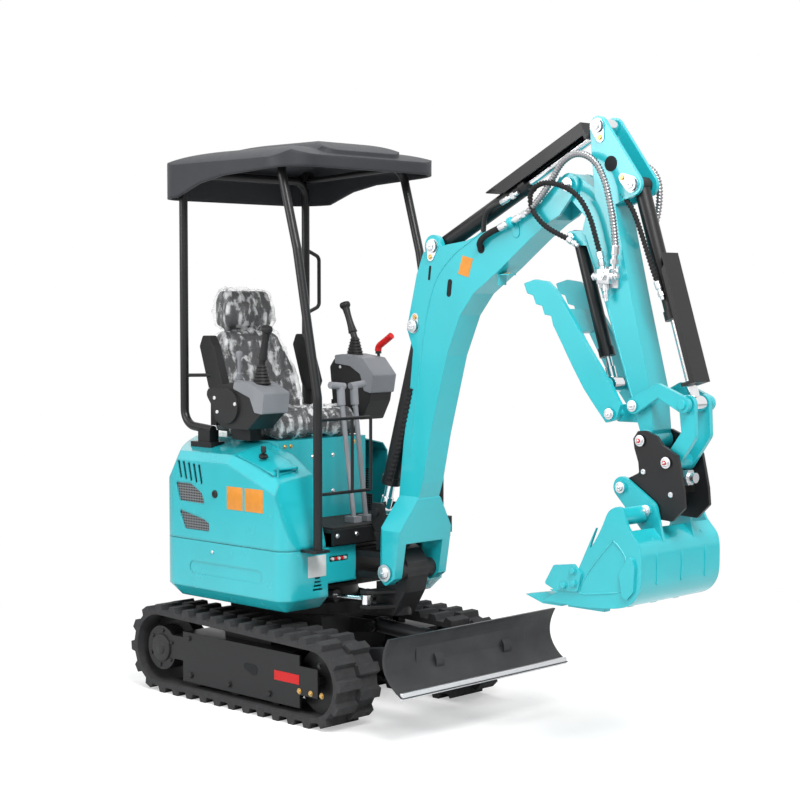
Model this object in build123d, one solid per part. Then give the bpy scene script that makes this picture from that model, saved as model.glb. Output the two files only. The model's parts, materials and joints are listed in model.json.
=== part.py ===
"""Mini excavator on rubber tracks: undercarriage, slewing house with canopy, swinging boom, arm,
thumb, quick hitch and bucket. Millimetres, +X forward, +Y to the operator's left, +Z up, z = 0 on the
ground. Pieces are drawn about the slewing axis and moved together at the end, so that the origin is
the centre of the machine's footprint box."""
import math
import os

from build123d import *

# Clearances
SEAT_GAP = 0.3          # a seated joint between two bodies
PANEL_GAP = 3.0         # round a door or lid

# Tracks
TRACK_GAUGE = 770.0     # between the two belts' middles
SHOE_WIDTH = 230.0
REAR_WHEEL_X = -495.0
FRONT_WHEEL_X = 502.0
REAR_LOOP_R = 196.0     # to the lugs' tips
FRONT_LOOP_R = 184.0
LUG_HEIGHT = 24.0
BELT_THICKNESS = 22.0
LUG_PITCH = 96.0
LUG_ROOT = 52.0
LUG_TIP = 34.0
TRACK_PLATE_INSET = 22.0
ROLLER_R = 52.0
ROLLER_XS = (-290.0, -30.0, 230.0)

# Undercarriage middle
CARBODY_HALF_LENGTH = 330.0
CARBODY_Z0 = 170.0
CARBODY_Z1 = 392.0
SLEW_RING_R = 255.0
SLEW_RING_Z1 = 440.0

# Blade
BLADE_PIVOT = (330.0, 232.0)
BLADE_WIDTH = 1004.0
BLADE_ARM_Y = 205.0
BLADE_TOP = (945.0, 430.0)
BLADE_EDGE = (1038.0, 207.0)
BLADE_CYL_FOOT = (395.0, 352.0)
BLADE_CYL_EYE = (820.0, 330.0)

# House
HOUSE_Z0 = 446.0
SKIRT_CHAMFER = 52.0
FRONT_CORNER_R = 70.0
TAIL_CORNER_R = 110.0
HOUSE_SEAM_Z = 705.0
HOOD_TOP_Z = 1132.0
HOUSE_HALF_WIDTH = 495.0
HOOD_WELL_Y = 232.0 - HOUSE_HALF_WIDTH      # the wing's inner side, beside the operator
HOOD_WELL_X = -40.0
TAIL_R = 647.0
HOUSE_FRONT_X = 347.0
FLOOR_Z = 780.0
FRAME_PLATE = 14.0
FRAME_Z0 = 524.0
SKIRT_SHEET = 10.0
TAIL_WEIGHT = 110.0
HOOD_SHEET = 5.0
SKIRT_NOTCH_Z = 552.0
FUEL_LID_X = (0.0, 235.0)
FUEL_LID_Y = (40.0 - HOUSE_HALF_WIDTH, 180.0 - HOUSE_HALF_WIDTH)
LID_HINGE = (243.0, 1042.0)         # x and z
DOOR_HINGE = (-567.0, -348.0)       # x and y
DOOR_HINGE_ZS = (790.0, 930.0)
GRILLE_WINDOWS = (
    ((-364.0, 950.0), (-262.0, 950.0), (-190.0, 915.0), (-166.0, 868.0), (-338.0, 872.0)),
    ((-342.0, 832.0), (-172.0, 800.0), (-140.0, 785.0), (-140.0, 751.0), (-304.0, 751.0)),
)

# Canopy
POST_R = 19.0
POST_Y = 367.0
POST_FRONT_X = 411.0
POST_KNEE_Z = 1343.0
POST_TOP_X = 178.0
POST_BEND = (288.0, 1960.0)         # where the front posts lean further back, x and z
POST_REAR_X = -460.0
POST_ELBOW = (-262.0, 1176.0)       # the rear posts' forward ends, x and z
ROOF_HALF_WIDTH = 464.0
ROOF_REAR_X = -549.0
ROOF_FRONT_X = 355.0
ROOF_CORNER_R = 150.0
ROOF_SHEET = 14.0
ROOF_REAR_RIM_Z = 2190.0
ROOF_SHOULDER_Z = 2402.0
ROOF_TOP_Z = 2430.0
ROOF_BAND_HALF = 250.0              # the raised band down the middle
FRONT_HOOP_Z = ROOF_TOP_Z - 92.0
REAR_HOOP_Z = ROOF_TOP_Z - 126.0

# Front linkage: x and z of each pin
SWING_X = 510.0
BOOM_FOOT = (595.0, 613.0)
BOOM_CYL_FOOT = (437.0, 846.0)
EYE_ROOM_Z = 722.0                  # floor of the gap that the boom cylinder's eye moves in
BOOM_CYL_HEAD = (668.0, 1639.0)
ARM_CYL_FOOT = (776.0, 1966.0)
BOOM_TIP = (1484.0, 2184.0)
ARM_CYL_EYE = (1618.0, 2396.0)
BUCKET_CYL_FOOT = (1779.0, 2172.0)
LINK_ON_ARM = (1812.0, 1357.0)
LINK_EYE = (2031.0, 1370.0)
ARM_TIP = (1849.0, 1231.0)
HITCH_LINK = (1966.0, 1157.0)
BUCKET_FRONT_PIN = (1778.0, 1055.0)
BUCKET_REAR_PIN = (1896.0, 979.0)
THUMB_PIVOT = (1725.0, 1325.0)
THUMB_EYE = (1660.0, 1430.0)
THUMB_CYL_FOOT = (1490.0, 1983.0)

SWING_CYL_FOOT = (-20.0, -235.0)     # x and y
SWING_CYL_EYE = (478.0, -150.0)
SWING_CYL_Z = 488.0

BOOM_WIDTH = 124.0
BOOM_FORK_WIDTH = 312.0
BOOM_EAR = 46.0
ARM_WIDTH = 112.0
ARM_PLATE = 16.0
PIN_R = 17.0
EYE_R = 30.0
BUCKET_WIDTH = 488.0
BUCKET_WALL = 12.0
BUCKET_LOBE = (1868.0, 963.0)        # the cross tube above the bucket's back, x and z


def plate(points, y0, y1, corner=0.0):
    """A plate cut to an X-Z outline, from y0 to y1, with its corners rounded."""
    outline = Polyline(*[(x, z) for x, z in points], close=True)
    if corner:
        outline = fillet_outline(points, corner)
    face = make_face(outline)
    low = Plane(origin=(0, y0, 0), x_dir=(1, 0, 0), z_dir=(0, -1, 0))
    return extrude(low * face, amount=-(y1 - y0))


def fillet_outline(points, corner):
    """A closed outline with every corner rounded by one radius."""
    return FilletPolyline(*[(x, z) for x, z in points], radius=corner, close=True)


def plan(points, z0, z1):
    """A plate cut to an X-Y outline, from z0 to z1."""
    face = make_face(Polyline(*points, close=True))
    return Pos(0, 0, z0) * extrude(face, amount=z1 - z0)


def block(x0, x1, y0, y1, z0, z1):
    """A rectangular block between two corners."""
    return Pos((x0 + x1) / 2, (y0 + y1) / 2, (z0 + z1) / 2) * Box(x1 - x0, y1 - y0, z1 - z0)


def rod(start, end, radius):
    """A round bar from start to end."""
    a, b = Vector(*start), Vector(*end)
    where = Plane(origin=a, z_dir=(b - a).normalized())
    return extrude(where * Circle(radius), amount=(b - a).length)


def pin(at, y0, y1, radius=PIN_R):
    """A round bar across the machine at an x, z point."""
    return rod((at[0], y0, at[1]), (at[0], y1, at[1]), radius)


def vertical_pin(at, z0, z1, radius):
    """An upright round bar at an x, y point."""
    return rod((at[0], at[1], z0), (at[0], at[1], z1), radius)


def bent_tube(points, radius, bend):
    """A round tube that follows straight runs with rounded corners."""
    path = FilletPolyline(*points, radius=bend)
    start = Plane(origin=path @ 0, z_dir=path % 0)
    return sweep(start * Circle(radius), path=path)


def lobe(circles, y0, y1):
    """A link plate: the outline drawn tight round circles of (x, z, radius)."""
    rings = Sketch() + [Pos(x, z) * Circle(r) for x, z, r in circles]
    face = make_hull(rings.edges())
    low = Plane(origin=(0, y0, 0), x_dir=(1, 0, 0), z_dir=(0, -1, 0))
    return extrude(low * face, amount=-(y1 - y0))


def pair(make, *args):
    """The same piece on both sides of the machine's middle."""
    one = make(*args)
    return one + mirror(one, about=Plane.XZ)


def unit(a, b):
    """Length and direction from one x, z point to another."""
    length = math.hypot(b[0] - a[0], b[1] - a[1])
    return length, ((b[0] - a[0]) / length, (b[1] - a[1]) / length)


def along(a, b, distance, y=0.0):
    """A point on the line from a to b, as x, y, z."""
    _, way = unit(a, b)
    return (a[0] + way[0] * distance, y, a[1] + way[1] * distance)


def cylinder_barrel(foot, eye, tube_r, eye_width, length, y=0.0, rod_r=14.0):
    """A cylinder's barrel with its eye at the foot and the bore for its rod."""
    tube = rod(along(foot, eye, EYE_R * 0.6, y), along(foot, eye, length, y), tube_r)
    collar = rod(along(foot, eye, length - 34, y), along(foot, eye, length, y), tube_r + 5)
    eye_piece = pin(foot, y - eye_width / 2, y + eye_width / 2, EYE_R)
    bore = rod(along(foot, eye, EYE_R + 40, y), along(foot, eye, length + 1, y), rod_r + SEAT_GAP)
    hole = pin(foot, y - eye_width, y + eye_width, PIN_R + SEAT_GAP)
    return tube + collar + eye_piece - bore - hole


def cylinder_rod(foot, eye, rod_r, eye_width, start, y=0.0):
    """A cylinder's rod from inside its barrel to its eye."""
    length, _ = unit(foot, eye)
    shaft = rod(along(foot, eye, start, y), along(foot, eye, length - EYE_R * 0.6, y), rod_r)
    boss = rod(along(foot, eye, length - EYE_R - 36, y), along(foot, eye, length - EYE_R * 0.6, y), rod_r + 6)
    eye_piece = pin(eye, y - eye_width / 2, y + eye_width / 2, EYE_R)
    hole = pin(eye, y - eye_width, y + eye_width, PIN_R + 3)
    return shaft + boss + eye_piece - hole


# Tracks

def loop_path(offset):
    """The track loop's straight and round stretches at a distance inside the lugs' tips."""
    run = FRONT_WHEEL_X - REAR_WHEEL_X
    top = math.pi / 2 - 2 * math.atan2(REAR_LOOP_R - FRONT_LOOP_R, run)
    rear = (REAR_WHEEL_X, REAR_LOOP_R)
    front = (FRONT_WHEEL_X, FRONT_LOOP_R)
    return rear, front, REAR_LOOP_R - offset, FRONT_LOOP_R - offset, top, run


def loop_point(s, offset, rise):
    """The point at length s along the belt's surface, rise outside it."""
    rear, front, r0, r1, top, run = loop_path(offset)
    front_arc = (top + math.pi / 2) * r1
    rear_arc = (3 * math.pi / 2 - top) * r0
    total = 2 * run + front_arc + rear_arc
    s = s % total
    if s < run:
        return (rear[0] + s, rear[1] - r0 - rise)
    s -= run
    if s < front_arc:
        angle = -math.pi / 2 + s / r1
        return (front[0] + (r1 + rise) * math.cos(angle), front[1] + (r1 + rise) * math.sin(angle))
    s -= front_arc
    if s < run:
        way = (-math.sin(top), math.cos(top))
        out = (math.cos(top), math.sin(top))
        return (front[0] + (r1 + rise) * out[0] + s * way[0], front[1] + (r1 + rise) * out[1] + s * way[1])
    s -= run
    angle = top + s / r0
    return (rear[0] + (r0 + rise) * math.cos(angle), rear[1] + (r0 + rise) * math.sin(angle))


def loop_length(offset):
    """The length of the belt's surface."""
    _, _, r0, r1, top, run = loop_path(offset)
    return 2 * run + (top + math.pi / 2) * r1 + (3 * math.pi / 2 - top) * r0


def lugged_outline(shift):
    """The belt's side outline with its lugs, started a length along the belt."""
    total = loop_length(LUG_HEIGHT)
    count = round(total / LUG_PITCH)
    pitch = total / count
    taper = (LUG_ROOT - LUG_TIP) / 2
    points = []
    for i in range(count):
        s = i * pitch + shift
        points.append(loop_point(s, LUG_HEIGHT, 0))
        points.append(loop_point(s + taper, LUG_HEIGHT, LUG_HEIGHT))
        points.append(loop_point(s + LUG_ROOT - taper, LUG_HEIGHT, LUG_HEIGHT))
        points.append(loop_point(s + LUG_ROOT, LUG_HEIGHT, 0))
    return points


def inner_outline():
    """The belt's inside, as a plain loop."""
    rear, front, r0, r1, top, _ = loop_path(LUG_HEIGHT + BELT_THICKNESS)
    lower = Line((rear[0], rear[1] - r0), (front[0], front[1] - r1))
    front_end = (front[0] + r1 * math.cos(top), front[1] + r1 * math.sin(top))
    front_arc = ThreePointArc((front[0], front[1] - r1), (front[0] + r1, front[1]), front_end)
    rear_start = (rear[0] + r0 * math.cos(top), rear[1] + r0 * math.sin(top))
    upper = Line(front_end, rear_start)
    rear_arc = ThreePointArc(rear_start, (rear[0] - r0, rear[1]), (rear[0], rear[1] - r0))
    return make_face(Curve() + [lower, front_arc, upper, rear_arc])


def track(side):
    """One rubber track: a closed belt with two staggered rows of lugs."""
    middle = side * TRACK_GAUGE / 2
    inside = inner_outline()
    rows = []
    for row in (0, 1):
        y0 = middle - SHOE_WIDTH / 2 + row * SHOE_WIDTH / 2
        face = make_face(Polyline(*lugged_outline(row * LUG_PITCH / 2), close=True)) - inside
        low = Plane(origin=(0, y0, 0), x_dir=(1, 0, 0), z_dir=(0, -1, 0))
        rows.append(extrude(low * face, amount=-SHOE_WIDTH / 2))
    return rows[0] + rows[1]


def track_frame(side):
    """The side beam that carries one track's wheels, with its plates, axles and the motor's case."""
    middle = side * TRACK_GAUGE / 2
    half = SHOE_WIDTH / 2 - TRACK_PLATE_INSET
    belt_in = LUG_HEIGHT + BELT_THICKNESS
    inner_top = FRONT_LOOP_R * 2 - belt_in
    beam_x0, beam_x1 = REAR_WHEEL_X + 158, FRONT_WHEEL_X - 145
    roller_z = belt_in + ROLLER_R + SEAT_GAP
    frame = block(beam_x0, beam_x1, middle - half, middle + half, roller_z + ROLLER_R + 4, inner_top - 34)
    motor_at, idler_at = (REAR_WHEEL_X, REAR_LOOP_R), (FRONT_WHEEL_X, FRONT_LOOP_R)
    for out in (-1, 1):
        y0, y1 = sorted((middle + out * half, middle + out * (half - 10)))
        frame += block(beam_x0 - 8, beam_x1 + 60, y0, y1, roller_z - 30, inner_top - 34)
        frame += block(beam_x1 - 10, FRONT_WHEEL_X + 24, y0, y1, idler_at[1] - 60, idler_at[1] + 60)
        y0, y1 = sorted((middle + out * (17 + SEAT_GAP), middle + out * half))
        frame += pin(motor_at, y0, y1, 98)
        y0, y1 = sorted((middle + out * 40, middle + out * half))
        frame += block(REAR_WHEEL_X, beam_x0 + 10, y0, y1, 158, 262)
        y0, y1 = sorted((middle + out * (40 + SEAT_GAP), middle + out * half))
        frame += pin(idler_at, y0, y1, 20)
        for x in ROLLER_XS:
            y0, y1 = sorted((middle + out * (60 + SEAT_GAP), middle + out * half))
            frame += pin((x, roller_z), y0, y1, 12)
    return frame + block(-140, 160, middle - 22, middle + 22, inner_top - 36, inner_top - 6)


def track_wheels(side):
    """The sprocket, front idler and lower rollers that sit inside one track."""
    middle = side * TRACK_GAUGE / 2
    belt_in = LUG_HEIGHT + BELT_THICKNESS
    sprocket_r = REAR_LOOP_R - belt_in - SEAT_GAP
    idler_r = FRONT_LOOP_R - belt_in - SEAT_GAP
    wheels = pin((REAR_WHEEL_X, REAR_LOOP_R), middle - 17, middle + 17, sprocket_r)
    wheels += pin((FRONT_WHEEL_X, FRONT_LOOP_R), middle - 40, middle + 40, idler_r)
    for x in ROLLER_XS:
        wheels += pin((x, belt_in + ROLLER_R + SEAT_GAP), middle - 60, middle + 60, ROLLER_R)
    return wheels


def carbody():
    """The welded middle of the undercarriage, with the slewing ring's lower half."""
    inner = TRACK_GAUGE / 2 - SHOE_WIDTH / 2 + TRACK_PLATE_INSET
    reach = inner
    centre = block(-CARBODY_HALF_LENGTH, CARBODY_HALF_LENGTH - 60, -215, 215, 235, CARBODY_Z1)
    legs = block(-CARBODY_HALF_LENGTH + 40, -CARBODY_HALF_LENGTH + 180, -reach, reach, CARBODY_Z0, 300)
    legs += block(CARBODY_HALF_LENGTH - 220, CARBODY_HALF_LENGTH - 80, -reach, reach, CARBODY_Z0, 300)
    ring = Pos(0, 0, CARBODY_Z1) * extrude(Circle(SLEW_RING_R), amount=SLEW_RING_Z1 - CARBODY_Z1)
    ears = None
    for y in (-BLADE_ARM_Y, BLADE_ARM_Y):
        for off in (-38, 26):
            ear = lobe([(BLADE_PIVOT[0], BLADE_PIVOT[1], 40), (250, 232, 40)], y + off, y + off + 12)
            ears = ear if ears is None else ears + ear
        ears += pin(BLADE_PIVOT, y - 44, y + 44)
    foot_ears = lobe([(BLADE_CYL_FOOT[0], BLADE_CYL_FOOT[1], 26), (255, 340, 34)], -52, -38)
    foot_ears += lobe([(BLADE_CYL_FOOT[0], BLADE_CYL_FOOT[1], 26), (255, 340, 34)], 38, 52)
    foot_ears += pin(BLADE_CYL_FOOT, -60, 60)
    return centre + legs + ring + ears + foot_ears


# Blade

def blade():
    """The dozer blade: a curved mouldboard, its cutting edge and two push arms."""
    half = BLADE_WIDTH / 2
    top_x, top_z = BLADE_TOP
    edge_x, edge_z = BLADE_EDGE
    sheet = 14
    front = Spline((top_x + 22, top_z), (top_x - 8, 330), (edge_x, edge_z))
    back = Spline((edge_x - sheet, edge_z), (top_x - 8 - sheet, 330), (top_x + 22 - sheet, top_z))
    face = make_face(Curve() + [front, Line((edge_x, edge_z), (edge_x - sheet, edge_z)), back,
                                Line((top_x + 22 - sheet, top_z), (top_x + 22, top_z))])
    low = Plane(origin=(0, -half, 0), x_dir=(1, 0, 0), z_dir=(0, -1, 0))
    board = extrude(low * face, amount=-2 * half)
    arms = None
    for y in (-BLADE_ARM_Y, BLADE_ARM_Y):
        arm = lobe([(BLADE_PIVOT[0], BLADE_PIVOT[1], 34), (top_x - 40, 300, 52)], y - 24, y + 24)
        arm -= pin(BLADE_PIVOT, y - 60, y + 60, PIN_R + SEAT_GAP)
        arms = arm if arms is None else arms + arm
    box = block(top_x - 110, top_x - 6, -BLADE_ARM_Y, BLADE_ARM_Y, 270, 350)
    back_web = block(top_x - 60, top_x - 4, -330, 330, 262, 372)
    ears = lobe([(BLADE_CYL_EYE[0], BLADE_CYL_EYE[1], 28), (top_x - 60, 320, 34)], -46, -34)
    ears += lobe([(BLADE_CYL_EYE[0], BLADE_CYL_EYE[1], 28), (top_x - 60, 320, 34)], 34, 46)
    gap = block(BLADE_CYL_EYE[0] - 60, BLADE_CYL_EYE[0] + 42, -34, 34, 240, 400)
    return board + arms + (box + back_web - gap) + ears


# House

def house_plan(inset, front_x):
    """The house's plan: straight sides, a round tail and rounded corners."""
    half = HOUSE_HALF_WIDTH - inset
    radius = TAIL_R - inset
    tail_x = -math.sqrt(radius ** 2 - half ** 2)
    sides = Polyline((tail_x, -half), (front_x, -half), (front_x, half), (tail_x, half))
    tail = ThreePointArc((tail_x, half), (-radius, 0), (tail_x, -half))
    face = make_face(Curve() + [sides, tail])
    face = fillet(face.vertices().sort_by(Axis.X)[-2:], FRONT_CORNER_R - inset)
    return fillet(face.vertices().sort_by(Axis.X)[:2], TAIL_CORNER_R - inset)


def solid_plan(face, z0, z1):
    """A face in plan, raised from z0 to z1."""
    return Pos(0, 0, z0) * extrude(face, amount=z1 - z0)


def skirt_body(inset, z1):
    """The lower bodywork's form with its chamfered lower edge, open below where it is inset."""
    z0 = HOUSE_Z0 - (1 if inset else 0)
    body = solid_plan(house_plan(inset, HOUSE_FRONT_X - inset), z0, z1)
    return chamfer(body.faces().sort_by(Axis.Z)[0].edges(), SKIRT_CHAMFER)


def stadium(x0, x1, z0, z1, y0, y1):
    """A long hole with round ends, cut across the machine."""
    radius = (z1 - z0) / 2
    return lobe([(x0 + radius, z0 + radius, radius), (x1 - radius, z0 + radius, radius)], y0, y1)


def skirt():
    """The lower bodywork with the tail weight, open at the front for the boom's bracket."""
    shell = skirt_body(0, HOUSE_SEAM_Z) - skirt_body(SKIRT_SHEET, HOUSE_SEAM_Z + 1)
    weight = solid_plan(house_plan(SKIRT_SHEET - 1, HOUSE_FRONT_X), HOUSE_Z0 + SKIRT_CHAMFER, HOUSE_SEAM_Z)
    weight -= solid_plan(Circle(TAIL_R - TAIL_WEIGHT), HOUSE_Z0, HOUSE_SEAM_Z)
    weight &= block(-TAIL_R - 10, -300, -HOUSE_HALF_WIDTH, HOUSE_HALF_WIDTH, HOUSE_Z0, HOUSE_SEAM_Z)
    front = HOUSE_FRONT_X - 80, HOUSE_FRONT_X + 10
    mouth = block(*front, -86, 330, HOUSE_Z0 - 1, HOUSE_SEAM_Z + 1)
    notch = block(*front, -250, -80, HOUSE_Z0 - 1, SKIRT_NOTCH_Z)
    for i in range(4):
        z = 530 + i * 16
        notch += block(*front, -336 + 4 * i, -282 - 4 * i, z, z + 7)
    notch += block(*front, -240, -132, 642, 664)
    groove = stadium(-272, 205, 560, 614, -HOUSE_HALF_WIDTH - 1, -HOUSE_HALF_WIDTH + 3)
    return shell + weight - mouth - notch - groove - mirror(groove, about=Plane.XZ)


def house_frame():
    """The house's base plate and deck, with the nose that carries the boom's bracket."""
    base_top = FRAME_Z0 + FRAME_PLATE
    base = solid_plan(house_plan(SKIRT_SHEET + SEAT_GAP, HOUSE_FRONT_X - 30), FRAME_Z0, base_top)
    tail_room = Pos(0, 0, FRAME_Z0) * extrude(Circle(TAIL_R - TAIL_WEIGHT - SEAT_GAP), amount=FRAME_PLATE)
    base &= block(-300, HOUSE_FRONT_X, -HOUSE_HALF_WIDTH, HOUSE_HALF_WIDTH, FRAME_Z0, base_top) + tail_room
    turn = Pos(0, 0, SLEW_RING_Z1 + SEAT_GAP) * extrude(Circle(190), amount=FRAME_Z0 - SLEW_RING_Z1 + 2)
    frame = base + turn
    for y in (-162, 150):
        frame += block(-150, 300, y, y + 12, base_top - 1, 684)
        frame += block(-39, HOUSE_FRONT_X - 40, y, y + 12, 684, FLOOR_Z - FRAME_PLATE)
    nose_plan = [(250, -94), (SWING_X - 20, -56), (SWING_X + 6, -52), (SWING_X + 36, -22), (SWING_X + 36, 22),
                 (SWING_X + 6, 52), (SWING_X - 20, 56), (250, 94)]
    for z0, z1 in ((560, 590), (652, 678)):
        frame += plan(nose_plan, z0, z1)
    frame += block(250, 340, -78, 78, base_top - 1, 684)
    frame += Pos(SWING_X, 0, 500) * extrude(Circle(26), amount=206)
    frame += block(-39, HOUSE_FRONT_X + 40, -255, HOUSE_HALF_WIDTH - 20, FLOOR_Z - FRAME_PLATE, FLOOR_Z)
    frame += block(HOUSE_FRONT_X + 26, HOUSE_FRONT_X + 40, -255, HOUSE_HALF_WIDTH - 20, 716, FLOOR_Z)
    frame += block(-37, HOUSE_FRONT_X + 40, HOUSE_HALF_WIDTH - 34, HOUSE_HALF_WIDTH - 20, 708, FLOOR_Z)
    frame += block(-150, HOUSE_FRONT_X - 47, -162, 162, 684, 696)
    foot = Pos(SWING_CYL_FOOT[0], SWING_CYL_FOOT[1], SWING_CYL_Z)
    frame += foot * Pos(0, 0, 2) * Cylinder(14, 70) + foot * Pos(0, 0, 31) * Cylinder(20, 12)
    frame += foot * Pos(0, 0, -30) * Cylinder(20, 10)
    return frame


def cut_above(body, point, normal, inset):
    """Takes off what lies above a slanted plane, the plane moved in by inset."""
    way = Vector(*normal).normalized()
    return split(body, bisect_by=Plane(origin=Vector(*point) - way * inset, z_dir=way), keep=Keep.BOTTOM)


def hood_body(inset):
    """The hood's form before its well: a domed tail, sloped shoulders and a front that falls away."""
    z0 = HOUSE_SEAM_Z + (0 if inset else 2)
    body = solid_plan(house_plan(inset, HOUSE_FRONT_X - inset), z0, HOOD_TOP_Z - inset)
    radius = TAIL_R - inset
    dome = Polyline((0, z0 - 9), (radius, z0 - 9), (radius, 960), (radius - 47, 1075),
                    (radius - 102, 1190), (0, 1190),
                    close=True)
    body &= revolve(Plane.XZ * make_face(dome), Axis.Z)
    for side in (-1, 1):
        y = side * abs(HOOD_WELL_Y)
        body = cut_above(body, (0, y, HOOD_TOP_Z), (0, side * 0.222, 1), inset)
        body = cut_above(body, (0, side * HOUSE_HALF_WIDTH, 1050), (0, side, 0.8), inset)
        body = cut_above(body, (-18, y, HOOD_TOP_Z), (0.29, side * 0.222, 1), inset)
        body = cut_above(body, (0, side * HOUSE_HALF_WIDTH, 1045), (0.29, side, 0.8), inset)
        body = cut_above(body, (155, y, 1081), (0.62, side * 0.1, 1), inset)
    return cut_above(body, (272, 0, 1000), (1, 0, 0.27), inset)


def hood_shape(inset):
    """The hood's outer or inner form: a U in plan, open towards the operator's step on the left."""
    well = block(HOOD_WELL_X + inset, HOUSE_FRONT_X + 5, HOOD_WELL_Y - inset, HOUSE_HALF_WIDTH + 5,
                 HOUSE_SEAM_Z - 5, HOOD_TOP_Z + 5)
    return hood_body(inset) - well


def side_openings():
    """The five slanted slots and two grille windows in the hood's rear sides."""
    holes = None
    for i in range(5):
        x = -352 + i * 35
        slot = plate([(x, 1045 - i * 3), (x + 13, 1047 - i * 3), (x + 30, 975 - i * 5),
                      (x + 19, 971 - i * 5)],
                     -HOUSE_HALF_WIDTH - 5, -HOUSE_HALF_WIDTH + 30)
        holes = slot if holes is None else holes + slot
    for window in GRILLE_WINDOWS:
        holes += plate(window, -HOUSE_HALF_WIDTH - 5, -HOUSE_HALF_WIDTH + 30, 8)
    return holes + mirror(holes, about=Plane.XZ)


def hood():
    """The bodywork over the engine and beside the seat, a shell open below with a rear door opening."""
    shell = hood_shape(0) - hood_shape(HOOD_SHEET)
    opening = block(-TAIL_R - 5, -540, -330, 330, 730, 1050)
    lid_hole = block(*FUEL_LID_X, *FUEL_LID_Y, HOUSE_SEAM_Z + 200, HOOD_TOP_Z + 5)
    hinges = None
    for z in DOOR_HINGE_ZS:
        hinge = vertical_pin(DOOR_HINGE, z - 32, z + 32, 6)
        for z0 in (z - 32, z + 22):
            hinge += block(DOOR_HINGE[0] - 8, DOOR_HINGE[0] + 24, DOOR_HINGE[1] - 8, DOOR_HINGE[1] + 6, z0, z0 + 10)
        hinges = hinge if hinges is None else hinges + hinge
    lid_pin = pin(LID_HINGE, FUEL_LID_Y[0] + 14, FUEL_LID_Y[1] - 14, 3)
    for y in (FUEL_LID_Y[0] + 14, FUEL_LID_Y[1] - 20):
        lid_pin += block(LID_HINGE[0] - 4, LID_HINGE[0] + 6, y, y + 6, LID_HINGE[1] - 38, LID_HINGE[1] + 4)
    return shell - opening - lid_hole - side_openings() + hinges + lid_pin


def grilles():
    """The mesh sheets behind the hood's side windows."""
    sheet = None
    for window in GRILLE_WINDOWS:
        xs, zs = [x for x, _ in window], [z for _, z in window]
        y = -HOUSE_HALF_WIDTH + HOOD_SHEET
        piece = block(min(xs) - 6, max(xs) + 6, y, y + 3, min(zs) - 6, max(zs) + 6)
        sheet = piece if sheet is None else sheet + piece
    return sheet + mirror(sheet, about=Plane.XZ)


def engine_door():
    """The rear door of the hood, a curved panel on two outside hinges at its right edge."""
    z0, z1 = 730 + PANEL_GAP, 1050 - PANEL_GAP
    edge = 330 - PANEL_GAP
    panel = hood_body(0) - hood_body(HOOD_SHEET)
    panel &= block(-TAIL_R - 5, -540 - PANEL_GAP, -edge, edge, z0, z1)
    x, y = DOOR_HINGE
    for z in DOOR_HINGE_ZS:
        panel += vertical_pin(DOOR_HINGE, z - 20, z + 20, 10)
        panel += block(x - 8, x + 8, y, y + 30, z - 20, z + 20)
        panel -= vertical_pin(DOOR_HINGE, z - 40, z + 40, 6 + SEAT_GAP)
    return panel


def fuel_lid():
    """The lid over the fuel filler on the hood's right shoulder, hinged at its front edge."""
    raised = Pos(0, 0, 5) * hood_body(0) - Pos(0, 0, -5) * hood_body(0)
    (x0, x1), (y0, y1) = FUEL_LID_X, FUEL_LID_Y
    lid = raised & block(x0 + PANEL_GAP, x1 - PANEL_GAP, y0 + PANEL_GAP, y1 - PANEL_GAP, 900, HOOD_TOP_Z + 9)
    y0, y1 = y0 + 22, y1 - 22
    top = LID_HINGE[1] + 5
    tongue = [(x1 - 20, 1036), (x1 - 20, top), (LID_HINGE[0], top), (LID_HINGE[0], LID_HINGE[1])]
    lid += pin(LID_HINGE, y0, y1, 6) + plate(tongue, y0, y1)
    return lid - pin(LID_HINGE, y0 - 20, y1 + 20, 3 + SEAT_GAP)


def engine():
    """The engine and what surrounds it as one plain block."""
    return block(-460, -170, -230, 230, FRAME_Z0 + FRAME_PLATE + SEAT_GAP, 930)


def seat_base():
    """The box under the seat, with its front panel down to the deck."""
    half = abs(HOOD_WELL_Y) - SEAT_GAP
    box = block(HOOD_WELL_X + SEAT_GAP, 50, -half, half, FLOOR_Z, HOOD_TOP_Z)
    box -= block(-20, 36, -half + 14, half - 14, FLOOR_Z + 14, HOOD_TOP_Z - 14)
    return box + block(-380, 50, -half, half, HOOD_TOP_Z, HOOD_TOP_Z + 5)


def floor_mat():
    """The rubber floor mat."""
    return block(60, HOUSE_FRONT_X + 20, -240, HOUSE_HALF_WIDTH - 40, FLOOR_Z, FLOOR_Z + 8)


def seat():
    """The seat: cushion, reclined back and headrest, as one closed form with rounded pads."""
    base = HOOD_TOP_Z + 25
    cushion = plate([(-420, base), (10, base), (22, base + 60), (-20, base + 105), (-330, base + 85),
                     (-420, base + 60)], -225, 225, 18)
    back = plate([(-420, base + 30), (-330, base + 60), (-330, base + 130), (-345, 1300), (-430, 1590),
                  (-480, 1600), (-505, 1560)], -218, 218, 22)
    taper = plan([(-600, -218), (0, -218), (0, 218), (-600, 218)], base, 1440)
    taper += Plane.YZ.offset(-600) * Pos(0, 1440) * extrude(
        make_face(Polyline((-218, 0), (-150, 170), (150, 170), (218, 0), close=True)), amount=600)
    back &= taper
    head = plate([(-535, 1632), (-470, 1612), (-432, 1630), (-420, 1700), (-452, 1780), (-505, 1792),
                  (-540, 1740)], -132, 132, 22)
    stem = plate([(-500, 1570), (-455, 1570), (-465, 1640), (-500, 1640)], -60, 60)
    return cushion + back + head + stem


def seat_mount():
    """The seat's slide rails."""
    rails = block(-380, 0, -190, -150, HOOD_TOP_Z + 5, HOOD_TOP_Z + 25)
    rails += block(-380, 0, 150, 190, HOOD_TOP_Z + 5, HOOD_TOP_Z + 25)
    return rails


def armrests():
    """Two padded armrests on their brackets."""
    return pair(armrest)


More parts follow.
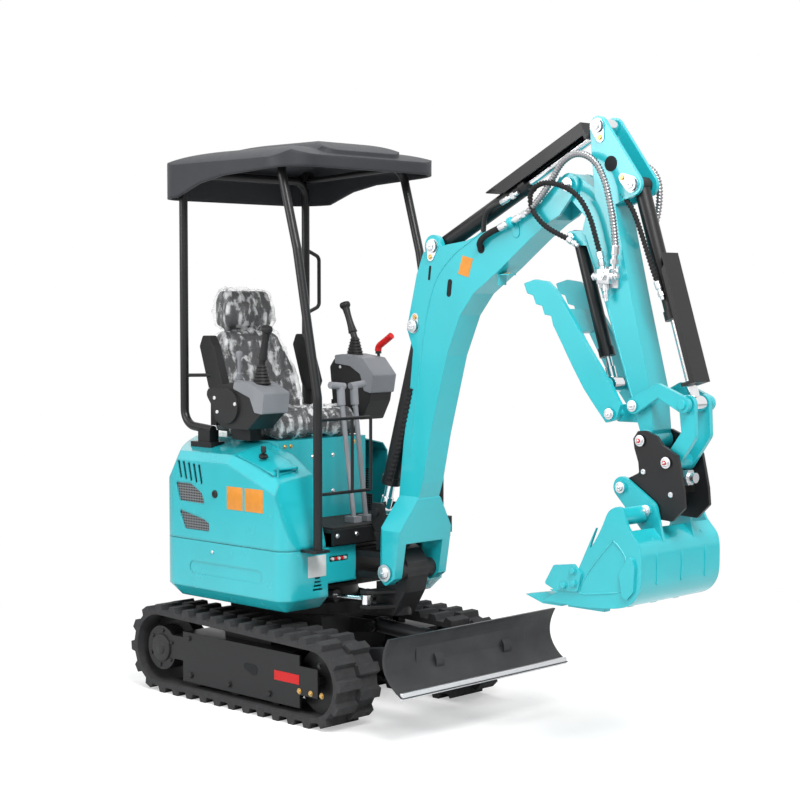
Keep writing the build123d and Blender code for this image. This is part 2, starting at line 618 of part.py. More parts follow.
def armrest():
    """One upright folded armrest on its bracket at the seat's side."""
    outline = [(-432, 1540), (-410, 1588), (-370, 1588), (-340, 1545), (-276, 1370), (-290, 1338),
               (-340, 1330), (-372, 1360)]
    pad = plate(outline, -302, -258, 14)
    bracket = block(-360, -320, -300, -270, 1190, 1345)
    pivot = rod((-340, -285, 1215), (-340, -216, 1215), 16)
    return pad + bracket + pivot - seat()


CONSOLE_Y = (268.0, 402.0)
RIGHT_CONSOLE = [(-262, 1350), (-205, 1225), (-150, 1192), (10, 1192), (95, 1260), (118, 1345), (20, 1385),
                 (-80, 1392), (-180, 1378)]
LEFT_CONSOLE = [(-188, 1440), (-169, 1277), (-60, 1212), (22, 1203), (70, 1290), (92, 1400), (20, 1470),
                (-100, 1488), (-160, 1476)]
RIGHT_SHELL = [(-70, 1398), (20, 1396), (124, 1352), (112, 1262), (60, 1268), (30, 1330), (-80, 1366)]
LEFT_SHELL = [(-150, 1494), (-96, 1500), (30, 1484), (102, 1408), (86, 1326), (40, 1336), (16, 1410),
              (-50, 1446), (-150, 1456)]


def console(side):
    """A control console beside the seat: a dark body with a round side cover, on its foot."""
    y0, y1 = sorted(side * y for y in CONSOLE_Y)
    inner, outer = side * CONSOLE_Y[0], side * CONSOLE_Y[1]
    rail_top = HOOD_TOP_Z + 5
    body = plate(RIGHT_CONSOLE if side < 0 else LEFT_CONSOLE, y0, y1, 14)
    cover_y = sorted((outer - side * 2, outer + side * 12))
    cover = lobe([(-119, 1289, 76), (-222, 1338, 26)] if side < 0 else [(-100, 1330, 60)], *cover_y)
    leg = block(-180, -60, *sorted((inner, inner + side * 60)), rail_top, 1290)
    foot = block(-180, -60, *sorted((inner, 225 * side)), rail_top, rail_top + 8)
    return body + cover + leg + foot


def console_top(side):
    """The grey shell over a console's front, round the joystick's boot."""
    y0, y1 = sorted(side * y for y in CONSOLE_Y)
    shell = plate(RIGHT_SHELL if side < 0 else LEFT_SHELL, y0 - 6, y1 + 6, 8)
    return shell - console(side)


def joystick(side):
    """A joystick with its folded boot and grip; the left console is raised, so its stick leans back."""
    x, y, z = (25, side * 335, 1390) if side < 0 else (-92, side * 335, 1493)
    lean = Vector(0.36, 0.12 * side, 1) if side < 0 else Vector(-0.42, 0, 1)
    boot = None
    for i in range(6):
        low = 42 - 3.6 * i
        fold = Pos(x, y, z + 6 + 14 * i) * Cone(low, low - 9, 14)
        boot = fold if boot is None else boot + fold
    start = Vector(x, y, z + 74)
    lean = lean.normalized()
    stem = rod(start, start + lean * 50, 15)
    handle = Plane(origin=start + lean * 34, z_dir=lean)
    grip = loft([handle * Circle(21), handle.offset(60) * Circle(15), handle.offset(120) * Circle(18)])
    knob = loft([handle.offset(120) * Circle(18), handle.offset(132) * Circle(25), handle.offset(146) * Circle(22)])
    return boot + stem + grip + knob - console(side) - console_top(side)


def travel_levers():
    """The two travel levers in front of the seat, each with a grey T handle."""
    levers = None
    for side in (-1, 1):
        foot, top = (282, side * 36, FLOOR_Z + 8), (205, side * 40, 1362)
        one = block(252, 312, min(side * 16, side * 62), max(side * 16, side * 62), FLOOR_Z + 8, FLOOR_Z + 34)
        one += rod((foot[0], foot[1], foot[2] + 20), top, 11)
        one += rod((top[0] + 6, top[1], 1290), (top[0], top[1], 1372), 18)
        one += rod((top[0], top[1] - side * 22, 1372), (top[0], top[1] + side * 62, 1380), 15)
        levers = one if levers is None else levers + one
    return levers


def lock_lever():
    """The bent lever that locks the controls, with its red grip, on the left console's outer side."""
    y = CONSOLE_Y[1] + 16
    stalk = bent_tube([(-98, y, 1240), (-6, y, 1356), (-25, y, 1524)], 7, 40)
    grip = bent_tube([(-22, y, 1500), (-25, y, 1530), (59, y, 1582)], 14, 14)
    foot = block(-130, -70, CONSOLE_Y[1], y + 10, 1226, 1262)
    return stalk + grip + foot - console(1)


def roof_layer(x0, x1, half, corner, top):
    """A moulded lid: a rounded plan under a crown that falls to every side."""
    floor_z = ROOF_REAR_RIM_Z - 60
    face = make_face(Polyline((x0, -half), (x1, -half), (x1, half), (x0, half), close=True))
    body = solid_plan(fillet(face.vertices(), corner), floor_z, top + 10)
    length = x1 - x0
    crown = Spline((x0, top - 96), (x0 + 0.09 * length, top - 52), (x0 + 0.3 * length, top - 15),
                   (x0 + 0.6 * length, top), (x0 + 0.85 * length, top - 12), (x1, top - 54))
    sides = Polyline((x1, top - 54), (x1, floor_z), (x0, floor_z), (x0, top - 96))
    body &= Plane(origin=(0, half, 0), x_dir=(1, 0, 0), z_dir=(0, -1, 0)) * extrude(
        make_face(Curve() + [crown, sides]), amount=2 * half)
    arch = Spline((-half, top - 66), (-0.86 * half, top - 28), (-0.5 * half, top - 4), (0.5 * half, top - 4),
                  (0.86 * half, top - 28), (half, top - 66))
    walls = Polyline((half, top - 66), (half, floor_z), (-half, floor_z), (-half, top - 66))
    return body & Plane(origin=(x0, 0, 0), x_dir=(0, 1, 0), z_dir=(1, 0, 0)) * extrude(
        make_face(Curve() + [arch, walls]), amount=length)


def roof_form(inset):
    """The roof's outer or inner form: rounded shoulders and a raised band down the middle."""
    half, band = ROOF_HALF_WIDTH - inset, ROOF_BAND_HALF - inset
    x0, x1 = ROOF_REAR_X + inset, ROOF_FRONT_X - inset
    body = roof_layer(x0, x1, half, ROOF_CORNER_R - inset, ROOF_SHOULDER_Z - inset)
    return body + roof_layer(x0 + 110, x1 - 26, band, 90 - inset, ROOF_TOP_Z - inset)


def canopy_frame():
    """The canopy's four posts: a front hoop, and rear posts that turn forward onto the hood."""
    front = bent_tube([(POST_FRONT_X, -POST_Y, 712), (POST_FRONT_X, -POST_Y, POST_KNEE_Z),
                       (POST_BEND[0], -POST_Y, POST_BEND[1]), (POST_TOP_X, -POST_Y, FRONT_HOOP_Z),
                       (POST_TOP_X, POST_Y, FRONT_HOOP_Z), (POST_BEND[0], POST_Y, POST_BEND[1]),
                       (POST_FRONT_X, POST_Y, POST_KNEE_Z), (POST_FRONT_X, POST_Y, 712)], POST_R, 70)
    elbow_x, elbow_z = POST_ELBOW
    rear = bent_tube([(elbow_x, -POST_Y, elbow_z), (POST_REAR_X, -POST_Y, elbow_z + 16),
                      (POST_REAR_X, -POST_Y, REAR_HOOP_Z), (POST_REAR_X, POST_Y, REAR_HOOP_Z),
                      (POST_REAR_X, POST_Y, elbow_z + 16), (elbow_x, POST_Y, elbow_z)], POST_R, 75)
    frame = front + rear
    for y in (-POST_Y, POST_Y):
        foot = block(elbow_x - 74, elbow_x + 6, y - 26, y + 26, HOOD_TOP_Z - 60, elbow_z)
        foot += block(elbow_x - 110, elbow_x + 30, y - 38, y + 38, HOOD_TOP_Z - 60, HOOD_TOP_Z - 8)
        frame += foot - hood_body(0)
        frame += block(HOUSE_FRONT_X + SEAT_GAP, POST_FRONT_X + 30, y - 40, y + 40, 700, 712)
        frame += rod((POST_REAR_X, y, REAR_HOOP_Z), (POST_TOP_X, y, FRONT_HOOP_Z), POST_R * 0.7)
        for x, tube_z in ((POST_REAR_X, REAR_HOOP_Z), (POST_TOP_X, FRONT_HOOP_Z)):
            frame += block(x - 30, x + 30, y - 30, y + 30, tube_z, ROOF_TOP_Z) & roof_form(ROOF_SHEET)
    frame += bent_tube([(POST_REAR_X, POST_Y + 6, 1983), (POST_REAR_X, POST_Y + 86, 1950),
                        (POST_REAR_X, POST_Y + 86, 1716), (POST_REAR_X, POST_Y + 6, 1684)], 9, 28)
    return frame + rod((POST_REAR_X, -POST_Y, 1411), (-352, -290, 1413), 8) - armrest()


def canopy_roof():
    """The moulded roof: a shell open below, its rim rising towards the front."""
    rim = [(ROOF_REAR_X - 5, ROOF_REAR_RIM_Z), (-390, ROOF_REAR_RIM_Z + 4), (-233, ROOF_REAR_RIM_Z + 58),
           (-81, ROOF_REAR_RIM_Z + 84), (300, ROOF_REAR_RIM_Z + 106),
           (ROOF_FRONT_X + 5, ROOF_REAR_RIM_Z + 108),
           (ROOF_FRONT_X + 5, ROOF_TOP_Z + 5), (ROOF_REAR_X - 5, ROOF_TOP_Z + 5)]
    return (roof_form(0) - roof_form(ROOF_SHEET)) & plate(rim, -ROOF_HALF_WIDTH - 5, ROOF_HALF_WIDTH + 5)


def front_guard():
    """The low guard rails beside the operator's knees, set back from the swinging cylinder."""
    x, y0, y1 = POST_FRONT_X - 5, -POST_Y + POST_R + SEAT_GAP, -62
    guard = None
    for start, end in (((y0, 1250), (y1, 1250)), ((y0, 940), (y1, 940)), ((-164, 940), (-164, 1250)),
                       ((y1 + 7, 940), (y1 + 7, 1250))):
        rail = rod((x, *start), (x, *end), 7)
        guard = rail if guard is None else guard + rail
    return guard


# Swing bracket

def swing_post():
    """The cast bracket that swings on the king pin and carries the boom's foot."""
    side = 62
    outline = [(SWING_X - 62, 415), (SWING_X + 40, 415), (BOOM_FOOT[0] + 20, 520), (BOOM_FOOT[0] + 40, 590),
               (BOOM_FOOT[0] + 36, 650), (590, 700), (520, 726), (484, 800), (BOOM_CYL_FOOT[0] + 36, 884),
               (BOOM_CYL_FOOT[0] - 32, 884), (BOOM_CYL_FOOT[0] - 33, 800), (SWING_X - 64, 730)]
    body = plate(outline, -side, side, 10)
    for out in (-1, 1):
        y0, y1 = sorted((out * 50, out * (side + 1)))
        body -= block(380, 560, y0, y1, 760, 900)
    body -= block(SWING_X - 90, SWING_X + 60, -side - 1, side + 1, 552, 686)
    body += Pos(SWING_X, 0, 415) * extrude(Circle(62), amount=137)
    body += Pos(SWING_X, 0, 686) * extrude(Circle(60), amount=30)
    body -= Pos(SWING_X, 0, 499) * extrude(Circle(26 + SEAT_GAP), amount=208)
    body -= block(BOOM_CYL_FOOT[0] - 80, BOOM_CYL_FOOT[0] + 86, -36, 36, EYE_ROOM_Z, 900)
    body += pin(BOOM_FOOT, -BOOM_FORK_WIDTH / 2 + BOOM_EAR, BOOM_FORK_WIDTH / 2 - BOOM_EAR, 40)
    body += pin(BOOM_FOOT, -BOOM_FORK_WIDTH / 2 - 6, BOOM_FORK_WIDTH / 2 + 6, 22)
    body += pin(BOOM_CYL_FOOT, -62, -36) + pin(BOOM_CYL_FOOT, 36, 62)
    x, y = SWING_CYL_EYE
    lug = [(SWING_X - 40, -50), (x - 24, y + 10), (x - 20, y - 20), (x + 20, y - 20), (x + 34, y),
           (SWING_X + 60, -50)]
    for z0 in (SWING_CYL_Z - 38, SWING_CYL_Z + 25):
        body += plan(lug, z0, z0 + 13)
    for z0 in (SWING_CYL_Z - 25, SWING_CYL_Z + 22):
        body += Pos(x, y, z0) * extrude(Circle(14), amount=3)
    return body


def swing_cylinder():
    """The swing cylinder's barrel and rod, lying under the base plate."""
    a = Vector(*SWING_CYL_FOOT, SWING_CYL_Z)
    b = Vector(*SWING_CYL_EYE, SWING_CYL_Z)
    way = (b - a).normalized()
    up = Vector(0, 0, 22)
    barrel = rod(a + way * 24, a + way * 348, 27) + rod(a - up, a + up, 26)
    barrel -= rod(a + way * 60, a + way * 349, 12 + SEAT_GAP) + rod(a - up * 2, a + up * 2, 14 + SEAT_GAP)
    piston = rod(a + way * 188, b - way * 18, 12) + rod(b - up * 0.9, b + up * 0.9, 24)
    piston -= rod(b - up * 2, b + up * 2, 17)
    return barrel, piston


# Boom and arm

def boom():
    """The boom: a bent box beam with a forked foot and a forked tip."""
    half = BOOM_WIDTH / 2
    fork_half = BOOM_FORK_WIDTH / 2
    rear_edge = [(564, 736), (580, 900), (608, 1150), (648, 1395), (664, 1540), (628, 1628), (684, 1850),
                 (722, 1942), (800, 1958), (856, 1971), (957, 1983), (1152, 2047), (1319, 2105),
                 (1400, 2150), (1440, 2216)]
    front_edge = [(1500, 2140), (1440, 2070), (1381, 2040), (1299, 1986), (1141, 1868), (999, 1772),
                  (926, 1685),
                  (853, 1519), (763, 1194), (718, 990), (652, 800), (650, 736)]
    beam = plate(rear_edge + front_edge, -half, half)
    foot = plate([(550, 590), (595, 558), (646, 590), (668, 720), (700, 930), (586, 930), (556, 760)],
                 -fork_half, fork_half, 12)
    foot -= block(500, 720, -fork_half + BOOM_EAR - SEAT_GAP, fork_half - BOOM_EAR + SEAT_GAP, 500, 736)
    flare = plan([(450, -fork_half), (720, -fork_half), (720, fork_half), (450, fork_half)], 500, 790)
    neck = [(-fork_half, 790), (-half, 931), (half, 931), (fork_half, 790)]
    throat = make_face(Polyline(*neck, close=True))
    flare += Pos(450, 0, 0) * extrude(Plane.YZ * throat, amount=270)
    foot &= flare
    foot &= plan([(530, -130), (575, -fork_half), (720, -fork_half), (720, fork_half), (575, fork_half),
                  (530, 130)],
                 500, 940)
    boom_shape = beam + foot
    ears = lobe([(*ARM_CYL_FOOT, 46), (800, 1890, 50)], -half, half)
    boom_shape += ears
    boom_shape -= pin(BOOM_FOOT, -200, 200, 22 + SEAT_GAP)
    head_room = plate([(560, 1740), (690, 1740), (724, 1639), (712, 1590), (660, 1400), (636, 1300),
                       (540, 1300)], -45, 45)
    foot_room = plate([(700, 1940), (715, 1990), (740, 2060), (1000, 2140), (1000, 1985), (860, 1950),
                       (800, 1912), (740, 1912)],
                      -40, 40)
    boom_shape -= head_room + foot_room
    boom_shape -= block(1408, 1600, -49, 49, 2000, 2300)
    ear = lobe([(*BOOM_TIP, 44), (1390, 2110, 40)], -half, -49)
    boom_shape += ear + mirror(ear, about=Plane.XZ)
    boom_shape -= pin(BOOM_TIP, -200, 200, 20 + SEAT_GAP)
    boom_shape += pin(BOOM_CYL_HEAD, -half - 12, half + 12)
    boom_shape += pin(ARM_CYL_FOOT, -half - 12, half + 12)
    return boom_shape


def arm():
    """The arm: a tapered box beam with plates at its head for two cylinders."""
    half = ARM_WIDTH / 2
    beam = plate([(1580, 2120), (1546, 2003), (1653, 1747), (1824, 1264), (1830, 1215), (1868, 1215),
                  (1884, 1270),
                  (1868, 1424), (1783, 1747), (1720, 2000), (1700, 2110)], -half, half, 8)
    root = lobe([(*BOOM_TIP, 42), (1610, 2090, 60)], -46, 46)
    shape = beam + root
    for y0 in (-half, half - ARM_PLATE):
        shape += lobe([(*ARM_CYL_EYE, 38), (*BUCKET_CYL_FOOT, 42), (1650, 2130, 44)], y0, y0 + ARM_PLATE)
    shape += pin(ARM_TIP, -half - 8, half + 8, 38)
    shape -= pin(ARM_TIP, -200, 200, PIN_R + SEAT_GAP)
    for at in (ARM_CYL_EYE,):
        shape += pin(at, -half - 12, -half + ARM_PLATE) + pin(at, half - ARM_PLATE, half + 12)
    shape += pin(BUCKET_CYL_FOOT, -half - 12, half + 12)
    shape += pin(LINK_ON_ARM, -half - 34, half + 34)
    shape += pin(BOOM_TIP, -BOOM_WIDTH / 2 - 10, BOOM_WIDTH / 2 + 10, 20)
    shape += lobe([(*THUMB_PIVOT, 32), (1810, 1330, 36)], -48, 48)
    shape += pin(THUMB_PIVOT, -116, 116)
    room = lobe([(*THUMB_CYL_FOOT, 40), (1640, 1500, 40)], -36, 36)
    shape -= room
    ears = lobe([(*THUMB_CYL_FOOT, 26), (1580, 1980, 30)], -50, -36)
    shape += ears + mirror(ears, about=Plane.XZ)
    return shape + pin(THUMB_CYL_FOOT, -58, 58)


def side_links():
    """The two curved links between the arm and the bucket's linkage."""
    return pair(side_link)


def side_link():
    """One side link, with the head of the open pin at its far end."""
    half = ARM_WIDTH / 2
    mid = ((LINK_ON_ARM[0] + LINK_EYE[0]) / 2, LINK_ON_ARM[1] + 62)
    link = lobe([(*LINK_ON_ARM, 30), (*mid, 24)], -half - 28, -half - 8)
    link += lobe([(*mid, 24), (*LINK_EYE, 30)], -half - 28, -half - 8)
    return link - pin(LINK_ON_ARM, -200, 200, PIN_R + SEAT_GAP) + pin(LINK_EYE, -half - 36, -half - 28)


def h_link():
    """The curved link from the cylinder's eye down to the hitch."""
    half = ARM_WIDTH / 2
    one = lobe([(*LINK_EYE, 34), (2040, 1260, 30)], -half, -36)
    one += lobe([(2040, 1260, 30), (*HITCH_LINK, 32)], -half, -36)
    both = one + mirror(one, about=Plane.XZ) + pin(HITCH_LINK, -half, half, 30)
    return both - pin(HITCH_LINK, -200, 200, PIN_R + SEAT_GAP)


def quick_hitch():
    """The quick hitch: two side plates with pins above and seats for the bucket's pins below."""
    y = ARM_WIDTH / 2 + 14
    side = [(1814, 1236), (1836, 1266), (1872, 1268), (1920, 1250), (1946, 1218), (2012, 1186), (2026, 1126),
            (2040, 1061), (2046, 996), (1992, 944), (1900, 948), (1800, 1020), (1750, 1034), (1750, 1080),
            (1800, 1092), (1842, 1112), (1838, 1150), (1820, 1200)]
    hitch = plate(side, -y - 14, -y, 8) + plate(side, y, y + 14, 8)
    hitch += pin(ARM_TIP, -y - 20, y + 20) + pin(HITCH_LINK, -y - 20, y + 20)
    hitch += block(1840, 1980, -y, y, 1040, 1075)
    for at in (BUCKET_FRONT_PIN, BUCKET_REAR_PIN):
        hitch -= pin(at, -200, 200, PIN_R + SEAT_GAP)
    return hitch


def bucket_outline():
    """The bucket's side: a flat floor, an upright back, a lobe above it and a hollowed mouth."""
    x, z = BUCKET_LOBE
    back = Spline((1710, 616), (1850, 628), (1930, 654), (1968, 704), (1976, 780), (1966, 868),
                  (x + 36, z - 8),
                  tangents=((1, 0.04), (-0.35, 1)))
    lobe_edge = Spline((x + 36, z - 8), (x + 8, z + 38), (x - 34, z + 24), (1800, 929), (1742, 846),
                       (1684, 748),
                       tangents=((-0.1, 1), (-0.5, -1)))
    return make_face(Curve() + [back, lobe_edge, Polyline((1684, 748), (1600, 668), (1516, 618),
                     (1710, 616))])


def bucket_hollow():
    """What the bucket holds, open at the mouth and above the back's upper edge."""
    back = Spline((1700, 616 + BUCKET_WALL), (1848, 629 + BUCKET_WALL), (1922, 664), (1955, 708), (1964, 780),
                  (1954, 864), (1915, 906), tangents=((1, 0.04), (-1, 0.6)))
    rest = Polyline((1915, 906), (1936, 934), (1870, 1040), (1700, 1040), (1400, 700), (1500, 634),
                    (1700, 616 + BUCKET_WALL))
    return make_face(Curve() + [back, rest])


def bucket():
    """The digging bucket: a curved shell with ears, teeth, side cutters and wear strips."""
    half = BUCKET_WIDTH / 2
    outside = Plane(origin=(0, -half, 0), x_dir=(1, 0, 0), z_dir=(0, -1, 0))
    inside = Plane(origin=(0, BUCKET_WALL - half, 0), x_dir=(1, 0, 0), z_dir=(0, -1, 0))
    shell = extrude(outside * bucket_outline(), amount=-2 * half)
    shell -= extrude(inside * bucket_hollow(), amount=-2 * (half - BUCKET_WALL))
    for out in (-1, 1):
        y0, y1 = sorted((out * 88, out * 102))
        shell += lobe([(*BUCKET_FRONT_PIN, 40), (*BUCKET_REAR_PIN, 40), (1940, 868, 26)], y0, y1)
        y0, y1 = sorted((out * 101, out * (half - BUCKET_WALL + 1)))
        shell += pin(BUCKET_LOBE, y0, y1, 32)
        y0, y1 = sorted((out * half, out * (half + 10)))
        shell += plate([(1578, 761), (1674, 774), (1708, 741), (1692, 672), (1587, 667),
                        (1534, 688)], y0, y1, 8)
        shell += plate([(1900, 650), (1946, 700), (1952, 790), (1932, 842),
                        (1880, 760)], y0, y1 - out * 4, 16)
    shell += pin(BUCKET_FRONT_PIN, -114, 114) + pin(BUCKET_REAR_PIN, -114, 114)
    teeth = 4
    for i in range(teeth):
        y = -half + 30 + i * (BUCKET_WIDTH - 60) / (teeth - 1)
        shell += plate([(1600, 606), (1600, 634), (1530, 652), (1424, 632), (1510, 606)], y - 19, y + 19)
        shell += block(1630, 1800, y - 17, y + 17, 608, 622)
    return shell


def thumb():
    """The thumb: two toothed claws joined by a tube and a plate."""
    claw = [(1750, 1303), (1704, 1291), (1653, 1348), (1597, 1415), (1544, 1495), (1491, 1582),
            (1448, 1651), (1438, 1686), (1405, 1691), (1393, 1724), (1362, 1731), (1348, 1764),
            (1318, 1772), (1301, 1811), (1358, 1826), (1416, 1818), (1457, 1787), (1493, 1742),
            (1542, 1676), (1607, 1584), (1671, 1501), (1728, 1426), (1771, 1359)]
    y1 = ARM_WIDTH / 2 + 32
    claws = plate(claw, -y1 - 18, -y1, 5) + plate(claw, y1, y1 + 18, 5)
    claws -= pin(THUMB_PIVOT, -200, 200, PIN_R + SEAT_GAP)
    tube_piece = pin(THUMB_EYE, -y1, -34, 24) + pin(THUMB_EYE, 34, y1, 24)
    tie = plate([(1471, 1704), (1492, 1713), (1543, 1628), (1522, 1619)], -y1, y1)
    return claws + tube_piece + tie


def guard_plate(foot, eye, start, end, lift, skirt_start, skirt_depth):
    """A guard over a cylinder, carried by its rod: a top plate, side plates and an end web."""
    half = 50
    guard = block(start, end, -half, half, lift, lift + 5)
    guard += block(end - 12, end, -half, half, -8, lift + 1)
    for out in (-1, 1):
        y0, y1 = sorted((out * half, out * (half - 5)))
        guard += plate([(skirt_start - skirt_depth, lift), (skirt_start, lift - skirt_depth),
                        (end, lift - skirt_depth),
                        (end, lift)], y0, y1)
    return place_along(foot, eye, guard)


def place_along(foot, eye, piece):
    """Moves a piece drawn along +X, with +Z outward, onto the line from a cylinder's foot to its eye."""
    _, way = unit(foot, eye)
    return Plane(origin=(foot[0], 0, foot[1]), x_dir=(way[0], 0, way[1]), z_dir=(-way[1], 0, way[0])) * piece


def cylinder_guards():
    """The guards over the arm's and the bucket's cylinders."""
    arm_guard = guard_plate(ARM_CYL_FOOT, ARM_CYL_EYE, 340, 876, 54, 420, 44)
    bucket_guard = guard_plate(BUCKET_CYL_FOOT, LINK_EYE, 280, 772, 46, 340, 16)
    arm_hole = rod(along(ARM_CYL_FOOT, ARM_CYL_EYE, 800), along(ARM_CYL_FOOT, ARM_CYL_EYE, 900), 18.0)
    bucket_hole = rod(along(BUCKET_CYL_FOOT, LINK_EYE, 700), along(BUCKET_CYL_FOOT, LINK_EYE, 800), 16.0)
    return {"arm_cylinder_guard": arm_guard - arm_hole, "bucket_cylinder_guard": bucket_guard - bucket_hole}


def cylinders():
    """Each cylinder's barrel and rod in the front linkage and the blade."""
    pieces = {}
    rows = {
        "boom_cylinder": (BOOM_CYL_HEAD, BOOM_CYL_FOOT, 38.0, 20.0, 60.0, 700.0, 240.0),
        "arm_cylinder": (ARM_CYL_FOOT, ARM_CYL_EYE, 34.0, 18.0, 60.0, 520.0, 430.0),
        "bucket_cylinder": (BUCKET_CYL_FOOT, LINK_EYE, 30.0, 16.0, 60.0, 520.0, 300.0),
        "thumb_cylinder": (THUMB_CYL_FOOT, THUMB_EYE, 26.0, 14.0, 56.0, 470.0, 200.0),
        "blade_cylinder": (BLADE_CYL_FOOT, BLADE_CYL_EYE, 32.0, 17.0, 48.0, 300.0, 170.0),
    }
    for name, (foot, eye, tube_r, rod_r, width, length, start) in rows.items():
        pieces[name + "_barrel"] = cylinder_barrel(foot, eye, tube_r, width, length, 0.0, rod_r)
        pieces[name + "_rod"] = cylinder_rod(foot, eye, rod_r, width, start)
    return pieces


def build():
    """Every node by name, drawn about the slewing axis."""
    parts = {
        "carbody": carbody(),
        "blade": blade(),
        "house_frame": house_frame(),
        "skirt": skirt(),
        "hood": hood(),
        "grilles": grilles(),
        "engine_door": engine_door(),
        "fuel_lid": fuel_lid(),
        "engine_block": engine(),
        "seat_base": seat_base(),
        "floor_mat": floor_mat(),
        "seat": seat(),
        "seat_rails": seat_mount(),
        "armrests": armrests(),
        "travel_levers": travel_levers(),
        "lock_lever": lock_lever(),
        "canopy_frame": canopy_frame(),
        "canopy_roof": canopy_roof(),
        "front_guard": front_guard(),
        "swing_post": swing_post(),
        "boom": boom(),
        "arm": arm(),
        "side_links": side_links(),
        "h_link": h_link(),
        "quick_hitch": quick_hitch(),
        "bucket": bucket(),
        "thumb": thumb(),
    }
    for name, side in (("right", -1), ("left", 1)):
        parts["track_" + name] = track(side)
        parts["track_frame_" + name] = track_frame(side)
        parts["track_wheels_" + name] = track_wheels(side)
        parts["console_" + name] = console(side)
        parts["console_top_" + name] = console_top(side)
        parts["joystick_" + name] = joystick(side)
    barrel, piston = swing_cylinder()
    parts["swing_cylinder_barrel"] = barrel
    parts["swing_cylinder_rod"] = piston
    parts.update(cylinders())
    parts.update(cylinder_guards())
    return parts


def footprint_shift(parts):
    """The move that brings the box's middle over the origin."""
    box = Compound(children=[Compound(list(p.solids())) for p in parts.values()]).bounding_box()
    return -(box.min.X + box.max.X) / 2, -(box.min.Y + box.max.Y) / 2


PARTS = build()
SHIFT = footprint_shift(PARTS)
os.makedirs("parts", exist_ok=True)
for name, piece in PARTS.items():
    export_step(Pos(SHIFT[0], SHIFT[1], 0) * piece, f"parts/{name}.step")
print("shift", round(SHIFT[0], 3), round(SHIFT[1], 3), "nodes", len(PARTS))
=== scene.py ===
"""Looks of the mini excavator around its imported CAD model. Metres, +X forward, +Y to the operator's
left, +Z up, z = 0 on the ground, the same frame as the CAD."""
import json
import math

import bmesh
import bpy
from mathutils import Matrix, Vector, noise


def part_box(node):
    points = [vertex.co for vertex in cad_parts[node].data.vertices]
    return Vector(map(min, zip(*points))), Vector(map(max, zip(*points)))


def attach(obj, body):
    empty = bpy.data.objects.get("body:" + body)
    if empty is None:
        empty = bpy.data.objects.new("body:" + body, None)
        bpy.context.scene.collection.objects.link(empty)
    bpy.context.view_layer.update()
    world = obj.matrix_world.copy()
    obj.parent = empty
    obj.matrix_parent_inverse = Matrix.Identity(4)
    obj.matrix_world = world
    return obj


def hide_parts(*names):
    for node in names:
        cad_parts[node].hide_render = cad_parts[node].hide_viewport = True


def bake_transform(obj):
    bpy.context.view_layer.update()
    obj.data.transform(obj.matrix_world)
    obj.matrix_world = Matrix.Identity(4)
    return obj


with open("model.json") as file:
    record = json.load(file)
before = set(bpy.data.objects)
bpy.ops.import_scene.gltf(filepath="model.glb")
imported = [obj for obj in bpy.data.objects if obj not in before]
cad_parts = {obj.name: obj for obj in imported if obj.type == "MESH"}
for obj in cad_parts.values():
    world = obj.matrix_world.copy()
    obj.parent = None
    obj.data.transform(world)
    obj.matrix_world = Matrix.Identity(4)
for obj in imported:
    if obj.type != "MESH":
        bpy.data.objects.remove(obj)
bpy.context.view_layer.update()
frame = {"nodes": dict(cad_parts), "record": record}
NODES = frame["nodes"]

# Camera, fitted to the photograph
CAMERA_AT = (5.0921, -5.3529, 1.7492)
CAMERA_AZIMUTH = math.radians(44.47)
CAMERA_PITCH = math.radians(3.24)
CAMERA_LENS = 80.04
SENSOR = 36.0

# The CAD is drawn about the slewing axis and then moved along X
SLEW_X = -0.689551

RIGHT = Vector((0, -1, 0))
LEFT = Vector((0, 1, 0))
FRONT = Vector((1, 0, 0))
UP = Vector((0, 0, 1))
SIDES = (("right", -1, RIGHT), ("left", 1, LEFT))
JOINTS = {joint["name"]: Vector(joint["pos_m"]) for joint in frame["record"]["behaviour"]["joints"]
          if "pos_m" in joint}


def at(x, y, z):
    """A point given in millimetres from the slewing axis, in metres in the row frame."""
    return Vector((x / 1000 + SLEW_X, y / 1000, z / 1000))


# Distances from the middle to the faces that trim is fixed to, in millimetres
BOOM_SIDE = 62
ARM_SIDE = 56
BUCKET_SIDE = 243
CUTTER_SIDE = 254
HITCH_SIDE = 84
HITCH_BOSS_SIDE = 101
HOOD_SIDE = 494.4
TRACK_SIDE = 478


# Materials

